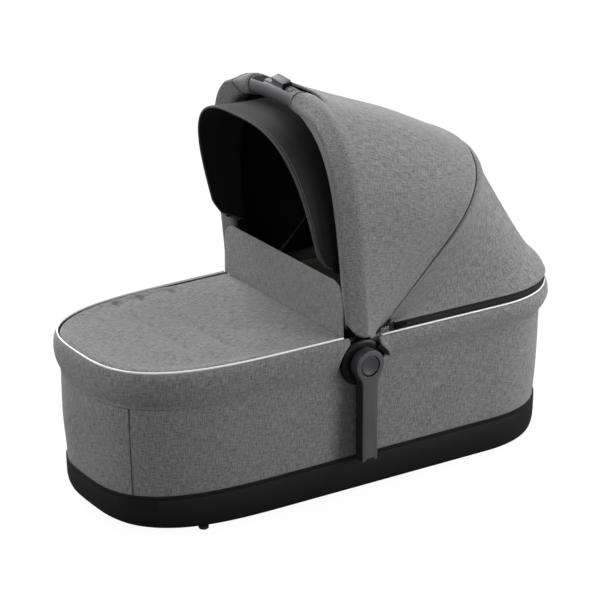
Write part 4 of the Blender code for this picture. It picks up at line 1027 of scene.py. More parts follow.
    def build_slit_shades(self) -> None:
        """A black sheet on the rear band beside each hub, laid just proud of it: painted shade of the slit
        there.
        """
        levels = self.levels(REAR_SEAM, REAR_BAND_HEIGHT)
        first, last = (Vector(p) for p in self.slit)
        run = last - first
        beside = Vector((-run.y, run.x)).normalized()
        for side in Side:

            def place(u: float, v: float, sign: int = side.value) -> Vector:
                """A point of the painted-shade sheet, just outside the band."""
                open_share = min(u / 0.08, (1 - u) / 0.42, 1.0) ** 0.6
                flat = first + run * u + beside * (self.slit_half * (2 * v - 1) * open_share)
                down = last_share(lambda w: curve_through(levels, w).y > flat.y)
                inset = curve_through(levels, down).x - self.bump(flat.x, flat.y) - self.slit_proud
                return Vector((flat.x, sign * PLAN.side(flat.x - PLAN.shift(flat.y), inset), flat.y))

            bm = Loom.lay(24, 4, place, (run.length, 2 * self.slit_half))
            bmesh.ops.remove_doubles(bm, verts=bm.verts, dist=WELD)
            Loom.face_out(bm, lambda p: Vector((p.x, 0, p.z)))
            # Near black cloth over the slit: painted shade.
            self.shop.piece(f"band_slit_shade_{side.label}", bm, HOOD_LINING, thickness=0.0012,
                            on=("cot", "black_fabric"))

    def build_lining(self) -> None:
        """The lining inside the wall, turned over the rim."""
        t, top = self.lining_thickness, WALL_TOP + GAP
        low, high = TRAY_TOP, WALL_TOP - 0.0084
        levels = [(self.lining_foot, self.lining_bottom), (self.lining + 2 * t, low), (self.lining, high),
                  (self.lining, top), (PLAN.wall, top), (PLAN.wall, top + t), (self.lining + t, top + t),
                  (self.lining + t, high), (self.lining + 3 * t, low),
                  (self.lining_foot + t, self.lining_bottom)]
        levels.append(levels[0])
        last = len(levels) - 1
        bm = Loom.lay(200, last, lambda u, v: RING.at(u, *levels[round(v * last)]), (RING.length, 0.5),
                      around=True)
        bmesh.ops.recalc_face_normals(bm, faces=bm.faces)
        rings = [e for e in bm.edges
                 if abs(e.verts[0].co.z - e.verts[1].co.z) < WELD and e.calc_length() > 0.004]
        bmesh.ops.bevel(bm, geom=rings, offset=0.0007, segments=2, profile=0.5, affect="EDGES", material=-1)
        self.shop.piece("lining_cover", bm, LINING, on=("cot", "lining_fabric", "inner_lining"))


@dataclass
class TrayBase:
    """The moulded tray with its lip, the board in it and the rubber feet."""

    shop: Workshop
    inset: float = 0.0095
    lip: float = 0.0018
    floor: float = 0.009
    bottom: float = 0.005
    rounding: float = 0.0115
    scoop: float = 0.020
    underside: tuple[tuple[float, float, float], ...] = (
        (0.02, 2.8, 0.03), (0.08, 1.9, 0.1), (0.17, 1.25, 0.22), (0.3, 0.75, 0.4), (0.44, 0.45, 0.57),
        (0.6, 0.25, 0.75), (0.8, 0.08, 0.9))

    def build(self) -> None:
        """Make the tray and dress its board and feet."""
        r, low = self.rounding, self.bottom
        foot = self.inset + r
        inner = self.inset + self.lip
        levels = [(foot + 0.004, self.floor, 1.0), (inner + 0.45 * r, self.floor + 0.55 * r, 0.4),
                  (inner + 0.05 * r, self.floor + 1.7 * r, 0.0), (inner, TRAY_TOP, 0.0),
                  (self.inset + 0.0006, TRAY_TOP, 0.0), (self.inset, TRAY_TOP - 0.0006, 0.0),
                  (self.inset, TRAY_TOP - 0.0052, 0.0), (self.inset + 0.0004, TRAY_TOP - 0.0058, 0.0),
                  (self.inset + 0.0004, TRAY_TOP - 0.0064, 0.0), (self.inset, TRAY_TOP - 0.007, 0.0),
                  *((self.inset + a * r, low + b * r, share) for a, b, share in self.underside),
                  (foot, low, 1.0)]
        loops = [lambda u, p=p: RING.at(u, p[0], p[1], p[2] * self.scoop) for p in levels]
        self.shop.piece("tray_moulding", Loom.rings(loops, 320), TRAY, soft=False,
                        on=("cot", "tray_plastic", "base_tray"))
        self.shop.paint_node(BOARD, "base_board")
        self.shop.paint_node(RUBBER, *(f"rubber_foot_{end}_end_{side.label}" for end in ("foot", "head")
                                       for side in Side))


@dataclass
class Apron:
    """The padded apron over the foot end, with its sewn channels."""

    shop: Workshop
    inset: float = 0.003
    low: float = 0.2662
    rim: float = 0.2722
    crown: float = 0.0022
    rim_rise: float = 0.0024
    rear: float = -0.0445
    groove: tuple[float, float] = (0.0036, 0.004)
    valley: tuple[float, float] = (0.0020, 0.014)
    channels: tuple[tuple[float, float, float, float], ...] = (
        (-0.265, 0.165, -0.2735, -0.112), (-0.2216, 0.150, -0.2085, -0.134), (-0.163, 0.168, -0.162, -0.087))

    def build(self) -> None:
        """Stuff the apron, then sew its channels."""
        tip = -(PLAN.half_length - self.inset)

        def outline(x: float) -> float:
            """Half width of the apron at x."""
            length = PLAN.foot[0] - PLAN.end_share * self.inset
            into = clamp((tip + length - x) / length)
            return PLAN.side(x, self.inset) * (1 - into ** PLAN.foot[1]) ** (1 / PLAN.foot[1])

        def top(u: float, v: float) -> Vector:
            """A point of the apron's top."""
            x = tip + (self.rear - tip) * u ** 1.5
            side = 2 * v - 1
            full = self.crown * (1 - abs(side) ** 6)
            return Vector((x, outline(x) * side, self.rim + full))

        bm = Loom.lay(60, 60, top)
        bmesh.ops.remove_doubles(bm, verts=bm.verts, dist=1e-5)
        Loom.face_out(bm, lambda p: Vector((p.x, p.y, 0)))
        cover = bmesh.ops.extrude_face_region(bm, geom=bm.faces[:])
        lower = [v for v in cover["geom"] if isinstance(v, bmesh.types.BMVert)]
        for vert in lower:
            vert.co.z = self.low
        bmesh.ops.recalc_face_normals(bm, faces=bm.faces)
        apron = self.shop.piece("apron_pad", bm, MELANGE_PAD)
        rim = self.rim + 0.0004

        def held(p: Vector) -> bool:
            """The rim and the underside are sewn down."""
            return p.z < rim and (p.z < self.low + 0.002 or abs(p.y) > outline(p.x) - 0.006)

        Stuffing(voxel=0.0035, rise=0.0025, sink=0.0006).fill(apron, held, Vector((0, 0, 1)))
        for vert in apron.data.vertices:
            if vert.co.z > self.low + 0.003:
                vert.co.z += self.raised(vert.co) - self.sewn(vert.co)
        lay_pattern(apron, lambda p: (p.y, p.x))
        Workshop.soften(apron)
        self.shop.settle(apron, "cot", "grey_fabric", "apron")

    def raised(self, p: Vector) -> float:
        """How far the padded rim beside the piping stands up, away from the folded flap."""
        length = PLAN.foot[0] - PLAN.end_share * self.inset
        into = clamp((length - PLAN.half_length + self.inset - p.x) / length)
        across = min(abs(p.y) / PLAN.side(p.x, self.inset), 1.0)
        away = (1 - (into ** PLAN.foot[1] + across ** PLAN.foot[1]) ** (1 / PLAN.foot[1])) * PLAN.half_width
        fade = 1 - ease((p.x + 0.185) / 0.04)
        return self.rim_rise * fade * ease(away / 0.004) * bell(max(away - 0.007, 0.0), 0.009)

    def sewn(self, p: Vector) -> float:
        """How far a point is drawn down by the channels and by the pad's softness."""
        depth = 0.0006 * (0.5 + 0.5 * ripple(p, 0.06, 11.0))
        for x0, y0, x1, y1 in self.channels:
            along = clamp((p.y - y0) / (y1 - y0))
            line = x0 + (x1 - x0) * along + 0.0015 * ripple(p, 0.03, 5.0)
            fade = min(1.0, 7 * (1 - along) + 0.02)
            away = abs(p.x - line)
            depth += fade * sum(deep * bell(away, wide) for deep, wide in (self.groove, self.valley))
        return depth * ease((PLAN.side(p.x, self.inset) - abs(p.y) - 0.010) / 0.018)


@dataclass
class WindFlap:
    """The padded flap that stands at the apron's end."""

    shop: Workshop
    x: float = -0.048
    base: float = 0.2765
    height: float = 0.0855
    thickness: float = 0.0042
    corner: float = 0.028

    def build(self) -> None:
        """Stuff the flap and press in the stitching round its edge."""
        half = PLAN.side(self.x, 0.0035)
        top, bottom = self.base + self.height, self.base - 0.0032

        def face(u: float, v: float) -> Vector:
            """A point of the flap's front, with its upper corners rounded."""
            y = half * (2 * u - 1)
            into = max(abs(y) - (half - self.corner), 0.0) / self.corner
            head = top - self.corner * (1 - math.sqrt(max(1 - into ** 2, 0.0)))
            return Vector((self.x - self.thickness / 2, y, bottom + (head - bottom) * v))

        bm = Loom.lay(120, 30, face)
        cover = bmesh.ops.extrude_face_region(bm, geom=bm.faces[:])
        lower = [v for v in cover["geom"] if isinstance(v, bmesh.types.BMVert)]
        bmesh.ops.translate(bm, vec=(self.thickness, 0, 0), verts=lower)
        bmesh.ops.recalc_face_normals(bm, faces=bm.faces)
        # The flap's cloth is a lighter copy of the grey melange: painted light.
        flap = self.shop.piece("wind_flap_pad", bm, MELANGE_FLAP_LIT)

        def edge(p: Vector) -> float:
            """Distance of a point from the flap's outline."""
            y, z = abs(p.y) - (half - self.corner), p.z - (top - self.corner)
            if y > 0 and z > 0:
                return self.corner - math.hypot(y, z)
            return min(half - abs(p.y), top - p.z)

        Stuffing(voxel=0.0028, rise=0.0008, sink=0.0008).fill(
            flap, lambda p: edge(p) < 0.004 or p.z < self.base + 0.002, Vector((1, 0, 0)))
        for vert in flap.data.vertices:
            away = edge(vert.co)
            press = 0.0005 * bell(away - 0.0075, 0.0018)
            vert.co.x += press if vert.co.x < self.x else -press
        lay_pattern(flap, lambda p: (p.y, p.z))
        Workshop.soften(flap)
        self.shop.settle(flap, "flap", "grey_fabric", "wind_flap")


@dataclass
class Mattress:
    """The mattress in its cotton cover, with a seam round it."""

    shop: Workshop
    inset: float = 0.0375
    low: float = 0.0132
    high: float = 0.0442

    def build(self) -> None:
        """Stuff the cover and draw in its seam."""
        levels = [(0.004, 0.0), (0.001, 0.15), (0.0, 0.5), (0.001, 0.85), (0.006, 1.0), (0.04, 1.1),
                  (0.09, 1.16)]
        span = self.high - self.low
        loops = [lambda u, p=p: RING.at(u, self.inset + p[0], self.low + span * p[1]) for p in levels]
        mattress = self.shop.piece("mattress_cover", Loom.rings(loops, 160), COTTON)
        Stuffing(voxel=0.006, rise=0.002, sink=0.0004).fill(
            mattress, lambda p: p.z < self.low + 0.004, Vector((0, 0, 1)))
        middle = (self.low + self.high) / 2
        for vert in mattress.data.vertices:
            seam = bell(vert.co.z - middle, 0.003)
            vert.co.xy *= 1 - 0.004 * seam
        lay_pattern(mattress, lambda p: (p.x + p.z, p.y))
        Workshop.soften(mattress)
        self.shop.settle(mattress, "cot", "mattress_fabric", "mattress")


@dataclass
class ZipRun:
    """The covered zip round the hood's foot, its slider and its clear end."""

    shop: Workshop
    low: float = 0.2675
    high: float = 0.2806
    inset: float = 0.0015
    start: float = 0.030
    slit_share: float = 0.52
    facing_inset: float = 0.0046
    facing: tuple[float, float] = (0.2640, 0.2824)
    stop: tuple[float, float, float, float] = (0.0195, 0.0350, 0.2662, 0.2765)

    def build(self) -> None:
        """Make the zip's lips, coil, facing and end stop, and dress its slider."""
        walk = EndWalk(self.start, False)

        def place(u: float, v: float) -> Vector:
            """A point of the lips' outer face, with the closed slit between them."""
            z = self.low + (self.high - self.low) * v
            slit = bell(v - self.slit_share, 0.05)
            lip = 0.0005 * math.sin(math.pi * min(v, 1 - v) * 2) - 0.0019 * slit
            return walk.at(u, self.inset - lip, z)

        bm = Loom.lay(240, 24, place, (walk.length, self.high - self.low))
        Loom.face_out(bm, lambda p: Vector((p.x * 0.5, 0, p.z)))
        tape = self.shop.piece("zip_lips", bm, ZIP_CLOTH, thickness=0.0012,
                               on=("cot", "black_fabric", "zip_tape"))
        middle = self.low + self.slit_share * (self.high - self.low)
        bm = Loom.tube(lambda t: walk.at(t, self.inset + 0.0007, middle), 0.0006, 240, 8)
        self.shop.piece("zip_coil", bm, THREAD_AND_SEAM_SHADE, on=("cot", "black_fabric"))
        self.shop.paint_node(POST_DARK, "zip_slider")
        low, high = self.facing
        back = EndWalk(self.start + 0.010, False)
        bm = Loom.lay(200, 4, lambda u, v: back.at(u, self.facing_inset, low + (high - low) * v),
                      (back.length, high - low))
        Loom.face_out(bm, lambda p: Vector((p.x * 0.5, 0, p.z)))
        facing = self.shop.piece("zip_facing", bm, LINING, thickness=0.0010, on=("cot", "lining_fabric"))
        x0, x1, z0, z1 = self.stop
        outer = PLAN.side((x0 + x1) / 2, -0.0004)
        bm = Loom.block((x0, -outer, z0), (x1, -outer + 0.0019, z1), 0.0007)
        for vert in bm.verts:
            vert.co.z += 0.0018 * (vert.co.x - x0) / (x1 - x0)
        self.shop.piece("zip_end_stop", bm, CLEAR, soft=False, on=("cot", "clear_plastic", "zip_stop"))


@dataclass
class Hub:
    """One side's hub, side post, release button and the metal inside."""

    shop: Workshop
    side: Side
    inner: float = 0.1813
    drum: float = 0.0395
    bore: float = 0.0172
    button: float = 0.0158
    head: float = 0.0255
    shoulder: float = 0.030
    half_leg: float = 0.01425
    foot: float = 0.068

    def build(self) -> None:
        """Make the housing, the post and the button, and dress the rest."""
        self.build_housing()
        self.build_post()
        self.build_button()
        label, shop = self.side.label, self.shop
        shop.paint_node(POST, f"hub_bracket_{label}")
        shop.paint_node(POST_DARK, f"post_rib_{label}")
        shop.paint_node(STEEL, f"pivot_pin_{label}", f"button_spring_{label}")

    def build_housing(self) -> None:
        """The domed drum behind the post."""
        wall, rim = PLAN.side(HUB_X + HUB_RADIUS, PLAN.wall) + GAP, self.drum
        face = self.inner - GAP
        edge = face - 0.0085 * 0.75
        controls = [Vector(p) for p in ((rim, wall + 0.0004), (rim, edge), (rim - 0.0013, face - 0.0028),
                                        (rim - 0.0042, face - 0.0009), (0.031, face), (0.027, face))]
        profile = [(0.0045, wall), (rim - 0.0004, wall)]
        profile += [tuple(curve_through(controls, k / 20)) for k in range(21)] + [(0.0045, face)]
        bm = Loom.turned(profile, self.side.value, 72)
        self.shop.piece(f"hub_drum_{self.side.label}", bm, HUB, soft=False,
                        on=("cot", "hub_plastic", f"hub_housing_{self.side.label}"))

    def outline(self, t: float, shrink: float = 0.0) -> Vector:
        """The post's outline, drawn in all round.

        Args:
            t: share of the way round, from the top.
            shrink: how far it is drawn in.

        Returns:
            Its x and z about the hub axis.
        """
        head, fillet, half = self.head - shrink, self.shoulder + shrink, self.half_leg - shrink
        run, reach = half + fillet, head + fillet
        drop = math.sqrt(reach ** 2 - run ** 2)
        turn = math.atan2(drop, run)
        w = 1 - abs(2 * t - 1)
        if w < 0.4:
            angle = math.pi / 2 - (math.pi / 2 + turn) * w / 0.4
            x, z = head * math.cos(angle), head * math.sin(angle)
        elif w < 0.6:
            angle = math.pi - turn + turn * (w - 0.4) / 0.2
            x, z = run + fillet * math.cos(angle), -drop + fillet * math.sin(angle)
        elif w < 0.9:
            x, z = half, -drop + (self.foot + shrink - HUB_Z + drop) * (w - 0.6) / 0.3
        else:
            x, z = half * (1 - w) / 0.1, self.foot + shrink - HUB_Z
        return Vector((x if t < 0.5 else -x, z))

    def loop(self, side: float, shrink: float) -> Path:
        """The post's outline at a distance from the middle plane."""

        def at(t: float) -> Vector:
            """A point of it."""
            flat = self.outline(t, shrink)
            return Vector((HUB_X + flat.x, self.side.value * side, HUB_Z + flat.y))

        return at

    def ring(self, side: float, radius: float) -> Path:
        """A circle about the hub axis, started like the outline."""

        def at(t: float) -> Vector:
            """A point of it, turned as the outline's own point is where that lies on the head."""
            flat = self.outline(t)
            turn = math.atan2(flat.y, flat.x)
            return Vector((HUB_X + radius * math.cos(turn), self.side.value * side,
                           HUB_Z + radius * math.sin(turn)))

        return at

    def build_post(self) -> None:
        """The post: rounded head with the button's bore, hollow shoulders and a leg with its socket."""
        outer, floor = POST_OUTER, POST_OUTER - 0.0155
        loops = [self.loop(side, inset) for side, inset in (
            (self.inner, 0.0008), (self.inner + 0.0008, 0.0), (outer - 0.0016, 0.0),
            (outer - 0.0008, 0.0002), (outer - 0.0002, 0.0008), (outer, 0.0016))]
        loops += [self.ring(side, radius) for side, radius in (
            (outer, self.bore + 0.0004), (outer - 0.0005, self.bore), (floor, self.bore))]
        post = self.shop.piece(f"post_{self.side.label}", Loom.rings(loops, 200), POST, POST_DARK, POST_SIDE,
                               POST_HEAD, soft=False)
        middle = (self.inner + outer) / 2
        for low, high, half, top in ((middle - 0.0055, middle + 0.0055, 0.009, self.foot + 0.060),
                                     (middle, outer + 0.004, 0.0075, self.foot + 0.0045)):
            near, far = sorted((self.side.value * low, self.side.value * high))
            cutter = Loom.block((HUB_X - half, near, self.foot - 0.004), (HUB_X + half, far, top), 0.0008, 2)
            self.shop.carve(post, cutter)
        # Front faces keep the grey finish. The sides take darker ones, the leg's darker than the head's:
        # partly a darker moulding behind the grey front, partly painted shade.
        for face in post.data.polygons:
            across = face.center.x - HUB_X
            outside = abs(across) > self.half_leg - 0.001 or face.center.z > HUB_Z + self.bore
            beside = (3 if face.center.z > HUB_Z - 0.024 else 2) if outside else 1
            face.material_index = 0 if face.normal.y * self.side.value > 0.5 else beside
        post.data.shade_smooth()
        post.data.set_sharp_from_angle(angle=self.shop.sharp)
        self.shop.settle(post, "cot", "post_plastic", f"side_post_{self.side.label}")

    def build_button(self) -> None:
        """The dished release button."""
        front = POST_OUTER - 0.0012
        r = self.button
        profile = [(0.0, front - 0.0088), (r, front - 0.0088), (r, front - 0.0008),
                   (r - 0.0003, front - 0.0003), (r - 0.0009, front), (r - 0.0022, front - 0.0002),
                   (0.7 * r, front - 0.0012), (0.45 * r, front - 0.0018), (0.2 * r, front - 0.0021),
                   (0.0, front - 0.0022)]
        bm = Loom.turned(profile, self.side.value, 64)
        self.shop.piece(f"button_{self.side.label}", bm, BUTTON, soft=False,
                        on=(f"button_{self.side.label}", "post_plastic", f"release_button_{self.side.label}"))


@dataclass
class CarryHandle:
    """The handle bow's moulded grip with its rail and its release slide."""

    shop: Workshop
    grip_half: float = 0.0625
    grip_radius: float = 0.0155
    rail: tuple[float, float] = (-0.045, 0.028)
    rail_half: float = 0.0067
    recess: tuple[float, float] = (0.0275, 0.0600)
    recess_half: float = 0.0098
    slide: tuple[float, float] = (-0.0275, 0.0065)
    pad_half: float = 0.0072

    def build(self) -> None:
        """Make the grip and slide, and dress the tubes, arms and bow."""
        self.build_grip()
        self.build_slide()
        for side in Side:
            self.shop.paint_node(ALUMINIUM, f"handle_tube_{side.label}")
            self.shop.paint_node(POST_SIDE, f"handle_arm_{side.label}")
            self.shop.paint_node(POST_DARK, f"visor_clip_{side.label}")
        self.shop.paint_node(POST_DARK, "middle_bow")

    @staticmethod
    def within(value: float, low: float, high: float, edge: float) -> float:
        """A plateau of 1 between two limits, with soft edges."""
        return ease((value - low) / edge + 0.5) * ease((high - value) / edge + 0.5)

    def relief(self, side: float, across: float) -> float:
        """How far the grip's top stands up: the rail with its grooves, and the sunk place beside it."""
        run = self.within(side, *self.rail, 0.0012)
        rail = self.within(across, -self.rail_half, self.rail_half, 0.0008) * run
        groove = self.within(abs(across), self.rail_half + 0.0002, self.rail_half + 0.0014, 0.0006) * run
        sunk = self.within(side, *self.recess, 0.0012)
        sunk *= self.within(across, -self.recess_half, self.recess_half, 0.0010)
        return 0.0010 * rail - 0.0009 * groove - 0.0020 * sunk

    def build_grip(self) -> None:
        """An oval bar with a rail and a sunk place along its top, its floor painted black as shade."""

        def place(u: float, v: float) -> Vector:
            """A point of the grip's surface."""
            side = self.grip_half * (2 * u - 1)
            turn = math.tau * v
            end = max(abs(side) - (self.grip_half - 0.0012), 0.0) / 0.0012
            radius = self.grip_radius * (1 - 0.06 * end ** 2)
            across, height = radius * math.cos(turn), radius * math.sin(turn)
            point = BOW.ring(side, radius, turn)
            if height > 0:
                point += (BOW.ring(side, 1.0, math.pi / 2) - BOW.line(side)) * self.relief(side, across)
            return point

        bm = Loom.cap(Loom.lay(170, 112, place, around=True))
        low, high = self.recess
        grip = self.shop.piece("grip_bar", bm, GRIP, POST_DARK, soft=False)
        right = Vector((math.sin(HANDLE_ANGLE), 0, 0))
        # The sunk place's upward faces take the black finish: painted shade in the recess.
        for face in grip.data.polygons:
            across = (Vector(face.center) - BOW.line(face.center.y)).dot(right)
            sunk = low < face.center.y < high and abs(across) < self.recess_half
            face.material_index = 1 if sunk and face.normal.z > 0.5 else 0
        self.shop.settle(grip, "handle", "post_plastic", "carry_grip")

    def build_slide(self) -> None:
        """The release slide: a grained wedge on a base, with a stepped black end."""
        near, far = self.slide
        half = self.pad_half
        top = BOW.top + self.grip_radius
        seat = Matrix.Translation(HUB_MIDDLE) @ Matrix.Rotation(math.pi / 2 - HANDLE_ANGLE, 4, "Y")
        pad = Loom.block((-half, near, top + 0.0034), (half, far, top + 0.0072), 0.0009)
        for vert in pad.verts:
            if vert.co.z > top + 0.005:
                along = (vert.co.y - near) / (far - near)
                vert.co.z += (0.0034 * ease((along - 0.3) / 0.6)
                              + 0.0022 * (vert.co.x / half) * (1 - 0.5 * along))
        blocks = [(pad, GRIP, "slide_pad")]
        for wide, start, end, low, high, edge, finish, name in (
                (-0.0008, near + 0.001, far - 0.0005, 0.0006, 0.0036, 0.0003, POST_DARK, "slide_line"),
                (0.0004, near + 0.002, far, -0.0006, 0.0028, 0.0006, GRIP, "slide_base"),
                (0.0016, near - 0.0036, near + 0.0022, -0.0070, 0.0014, 0.0006, POST_DARK, "slide_step_low"),
                (0.0006, near - 0.0018, near + 0.0022, -0.0020, 0.0056, 0.0006, POST_DARK,
                 "slide_step_high")):
            bm = Loom.block((-half - wide, start, top + low), (half + wide, end, top + high), edge, 2)
            blocks.append((bm, finish, name))
        for bm, finish, name in blocks:
            bmesh.ops.transform(bm, matrix=seat, verts=bm.verts)
            made = self.shop.piece(name, bm, finish, soft=False)
            nodes = ("release_slide",) if name == "slide_pad" else ()
            self.shop.settle(made, "release", "post_plastic", *nodes)


@dataclass(frozen=True)
class SleeveRow:
    """A line of the hood's sleeve, round the handle tube from its inner back to its top."""

    reach: float
    side_in: float
    top_in: float
    power: float
    turn: float


@dataclass
class Hood:
    """The hood's two fabric panels, the sleeve on the bow, the hand slit and the seam."""

    shop: Workshop
    thickness: float = 0.0026
    half: float = 0.190
    top: float = 0.4156
    shoulder: float = 0.16
    start: float = 0.045
    hem_rise: float = 0.0262
    hem_reach: float = 0.024
    seam: Arch = Arch(0.1645, 0.239, 0.397, 2.27, 0.0815)
    front_seam_start: float = 0.060
    zip_top: float = 0.2810
    sleeve_radius: float = 0.0168
    sleeve_ends: tuple[float, float] = (-0.0567, 0.0675)
    ring_fade: tuple[float, float] = (0.054, 0.125)
    slit_half: float = 0.079
    slit_share: float = 0.080
    slit_width: float = 0.060
    leg_drop: float = 0.0068
    far_seam: float = 0.100
    rear_hollow: float = 0.006
    rows: tuple[SleeveRow, ...] = (
        SleeveRow(-0.25, 0.0350, 0.0290, 3.20, -150.0), SleeveRow(0.15, 0.0352, 0.0290, 3.20, -115.0),
        SleeveRow(0.55, 0.0340, 0.0270, 3.30, -75.0), SleeveRow(0.86, 0.0225, 0.0130, 3.60, -35.0),
        SleeveRow(0.98, 0.0172, 0.0072, 3.80, -10.0), SleeveRow(1.0, 0.0130, 0.0056, 3.75, 15.0),
        SleeveRow(0.5, 0.0058, 0.0025, 3.40, 50.0), SleeveRow(0.0, 0.0014, 0.0006, 3.20, 85.0),
        SleeveRow(-0.3, 0.0, 0.0, 3.15, 110.0))
    crest: int = 8
    counts: tuple[int, ...] = (3,) * 9 + (1, 4, 5, 3, 4, 5, 5, 4, 1)
    shares: tuple[float, ...] = (0.25, 0.46, 0.56, 0.70, 0.80, 0.90)

    def crest_side(self, t: float) -> float:
        """Distance of the crest from the middle plane at a share of the way over."""
        row = self.rows[self.crest]
        return Arch(self.half, self.shoulder, self.top, row.power, self.start).pair(t)[0]

    def edge_row(self, t: float, row: SleeveRow) -> Vector:
        """A point of the sleeve, round beside the grip and fuller away from it."""
        start = self.start + self.hem_rise * max(row.reach, 0.0) ** 1.8
        arch = Arch(self.half - row.side_in, self.shoulder, self.top - row.top_in, row.power, start)
        side, along = arch.pair(t)
        full = hub_point(HANDLE_ANGLE, along, side, self.hem_reach * row.reach)
        beside = self.crest_side(t)
        low, high = self.ring_fade
        share = ease((abs(beside) - low) / (high - low))
        if share >= 1:
            return full
        return BOW.ring(beside, self.sleeve_radius, math.radians(row.turn)).lerp(full, share)

    def seam_point(self, t: float, inward: float = 0.0, start: Optional[float] = None) -> Vector:
        """A point of the seam over the middle bow, moved in by a distance.

        Args:
            t: the share of the way over.
            inward: how far it is moved in.
            start: the distance from the hub axis where it starts, if not the seam's own.

        Returns:
            The point.
        """
        arch = self.seam if start is None else replace(self.seam, start=start)
        side, along = arch.pair(t)
        flat = Vector((side, along))
        flat -= (flat - Vector((0.0, 0.12))).normalized() * inward
        return hub_point(MIDDLE_ANGLE, flat.y, flat.x)

    def front_lines(self, t: float) -> list[Vector]:
        """Points down the front panel at a share of the way over."""
        rows = [self.edge_row(t, row) for row in self.rows]
        crest, seam = rows[-1], self.seam_point(t, start=self.front_seam_start)
        lens = min(abs(self.crest_side(t)) / self.slit_half, 1.0)
        width = 0.003 + self.slit_width * (1 - lens * lens) ** 0.7
        leg = max(1 - min(t, 1 - t) * self.seam.steps, 0.0) ** 2
        for share in (self.slit_share, self.slit_share + width, *self.shares):
            point = crest.lerp(seam, share)
            full = 0.008 * math.sin(math.pi * share ** 2) * math.sin(math.pi * t) ** 2
            point += (point - HUB_MIDDLE).normalized() * full
            point.z -= self.leg_drop * leg * ease(share / 0.28) * (1 - ease((share - 0.47) / 0.09))
            rows.append(point)
        near = crest.lerp(seam, 0.992)
        last = self.seam_point(t, 0.0024, self.front_seam_start) - (seam - crest).normalized() * 0.0004
        return rows + [near, last]

    def build(self) -> None:
        """Make both panels and the seam between them."""
        self.build_front()
        self.build_rear()
        # The seam tube is dark: painted shade in the groove between the panels.
        bm = Loom.tube(lambda t: self.seam_point(t, 0.0007, 0.066), 0.0009, 220, 8, up=Vector((1, 0, 0)))
        self.shop.piece("hood_seam", bm, THREAD_AND_SEAM_SHADE, on=("middle_bow", "grey_fabric"))

    def build_front(self) -> None:
        """The front panel, its opening for the grip and the hem round it."""
        columns, rows = 216, sum(self.counts)
        pace = Pace(lambda t: self.edge_row(t, self.rows[self.crest]), 1500)
        knots = [sum(self.counts[:k]) / rows for k in range(len(self.counts) + 1)]
        before, after = knots[len(self.rows)], knots[len(self.rows) + 1]
        sides = [self.crest_side(pace.share((k + 0.5) / columns)) for k in range(columns)]
        near, far = self.sleeve_ends

        def place(u: float, v: float) -> Vector:
            """A point of the panel."""
            point = curve_through(self.front_lines(pace.share(u)), v, knots)
            soft = math.sin(math.pi * clamp((v - 0.55) / 0.42))
            inward = (point - HUB_MIDDLE).normalized()
            return point - inward * (0.0012 * soft * (0.6 + ripple(point, 0.09, 2.0)))

        def keep(u: float, v: float) -> bool:
            """Leave out the grip's opening and the slit."""
            side = sides[min(int(u * columns), columns - 1)]
            opening = near < side < far and v < before
            return not (opening or (abs(side) < self.slit_half and before < v < after))

        line = self.front_lines(0.5)
        length = sum((b - a).length for a, b in zip(line, line[1:]))
        bm = Loom.lay(columns, rows, place, (pace.length, length), keep)
        Loom.face_out(bm, lambda p: HUB_MIDDLE)
        front = self.shop.piece("front_canopy_cover", bm, MELANGE, HOOD_LINING, thickness=self.thickness)
        hub_point(HANDLE_ANGLE, 0.16, 0.0)
        hub_point(MIDDLE_ANGLE, 0.16, 0.0)
        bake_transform(front)
        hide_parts("front_canopy")
        cut = [s for s in sides if near < s < far]
        step = pace.length / columns / 2
        self.build_sleeve_end(Side.RIGHT, abs(min(cut)) + step)
        self.build_sleeve_end(Side.LEFT, max(cut) + step)

        def back_edge(w: float) -> Vector:
            """The slit's back edge, on the panel."""
            side = self.slit_half * (2 * w - 1)
            return self.front_lines(last_share(lambda t: self.crest_side(t) < side))[len(self.rows) + 1]

        self.shop.piece("hand_slit_hem", Loom.tube(back_edge, 0.0016, 70, 10), MELANGE,
                        on=("handle", "grey_fabric"))
        lines = self.front_lines(last_share(lambda t: self.crest_side(t) < self.far_seam))
        start, end = knots[1], knots[len(self.rows)]
        bm = Loom.tube(lambda w: curve_through(lines, start + (end - start) * w, knots), 0.0008, 40, 8,
                       up=Vector((0, 1, 0)))
        self.shop.piece("sleeve_seam", bm, THREAD_AND_SEAM_SHADE, on=("handle", "grey_fabric"))

    def build_sleeve_end(self, side: Side, end: float) -> None:
        """The rolled hem at the sleeve's end beside the grip."""
        r, tip = self.sleeve_radius, end - 0.0026
        levels = [(0.0005, -0.0024), (0.0, -0.0010), (0.0002, 0.0), (0.0008, 0.0005), (0.0016, 0.0006),
                  (0.0024, 0.0004), (0.0029, -0.0003), (0.0060, -0.0012)]
        last = len(levels) - 1

        def place(u: float, v: float) -> Vector:
            """A point of the hem."""
            along, rise = levels[round(v * last)]
            return BOW.ring(side.value * (tip + along), r + rise, math.tau * u)

        def stitch(u: float, v: float) -> Vector:
            """A point of the stitching beside the hem."""
            return BOW.ring(side.value * (tip + 0.0036 + 0.0009 * v), r + 0.0003, math.tau * u)

        bm = Loom.cap(Loom.lay(48, last, place, (0.1, 0.012), around=True))
        self.shop.piece(f"sleeve_end_{side.label}", bm, MELANGE, smooth=True,
                        on=("handle", "grey_fabric", f"grip_cuff_{side.label}"))
        bm = Loom.lay(48, 2, stitch, (0.1, 0.001), around=True)
        self.shop.piece(f"sleeve_stitch_{side.label}", bm, THREAD_AND_SEAM_SHADE, thickness=0.0006,
                        on=("handle", "grey_fabric"))

    def build_rear(self) -> None:
        """The rear panel, from the seam down to the zip."""
        pace = Pace(self.seam_point, 1500)
        first = self.seam_point(0.0)
        walk = EndWalk(first.x + GAP, False)
        inside = Vector((0.05, 0.0, 0.25))

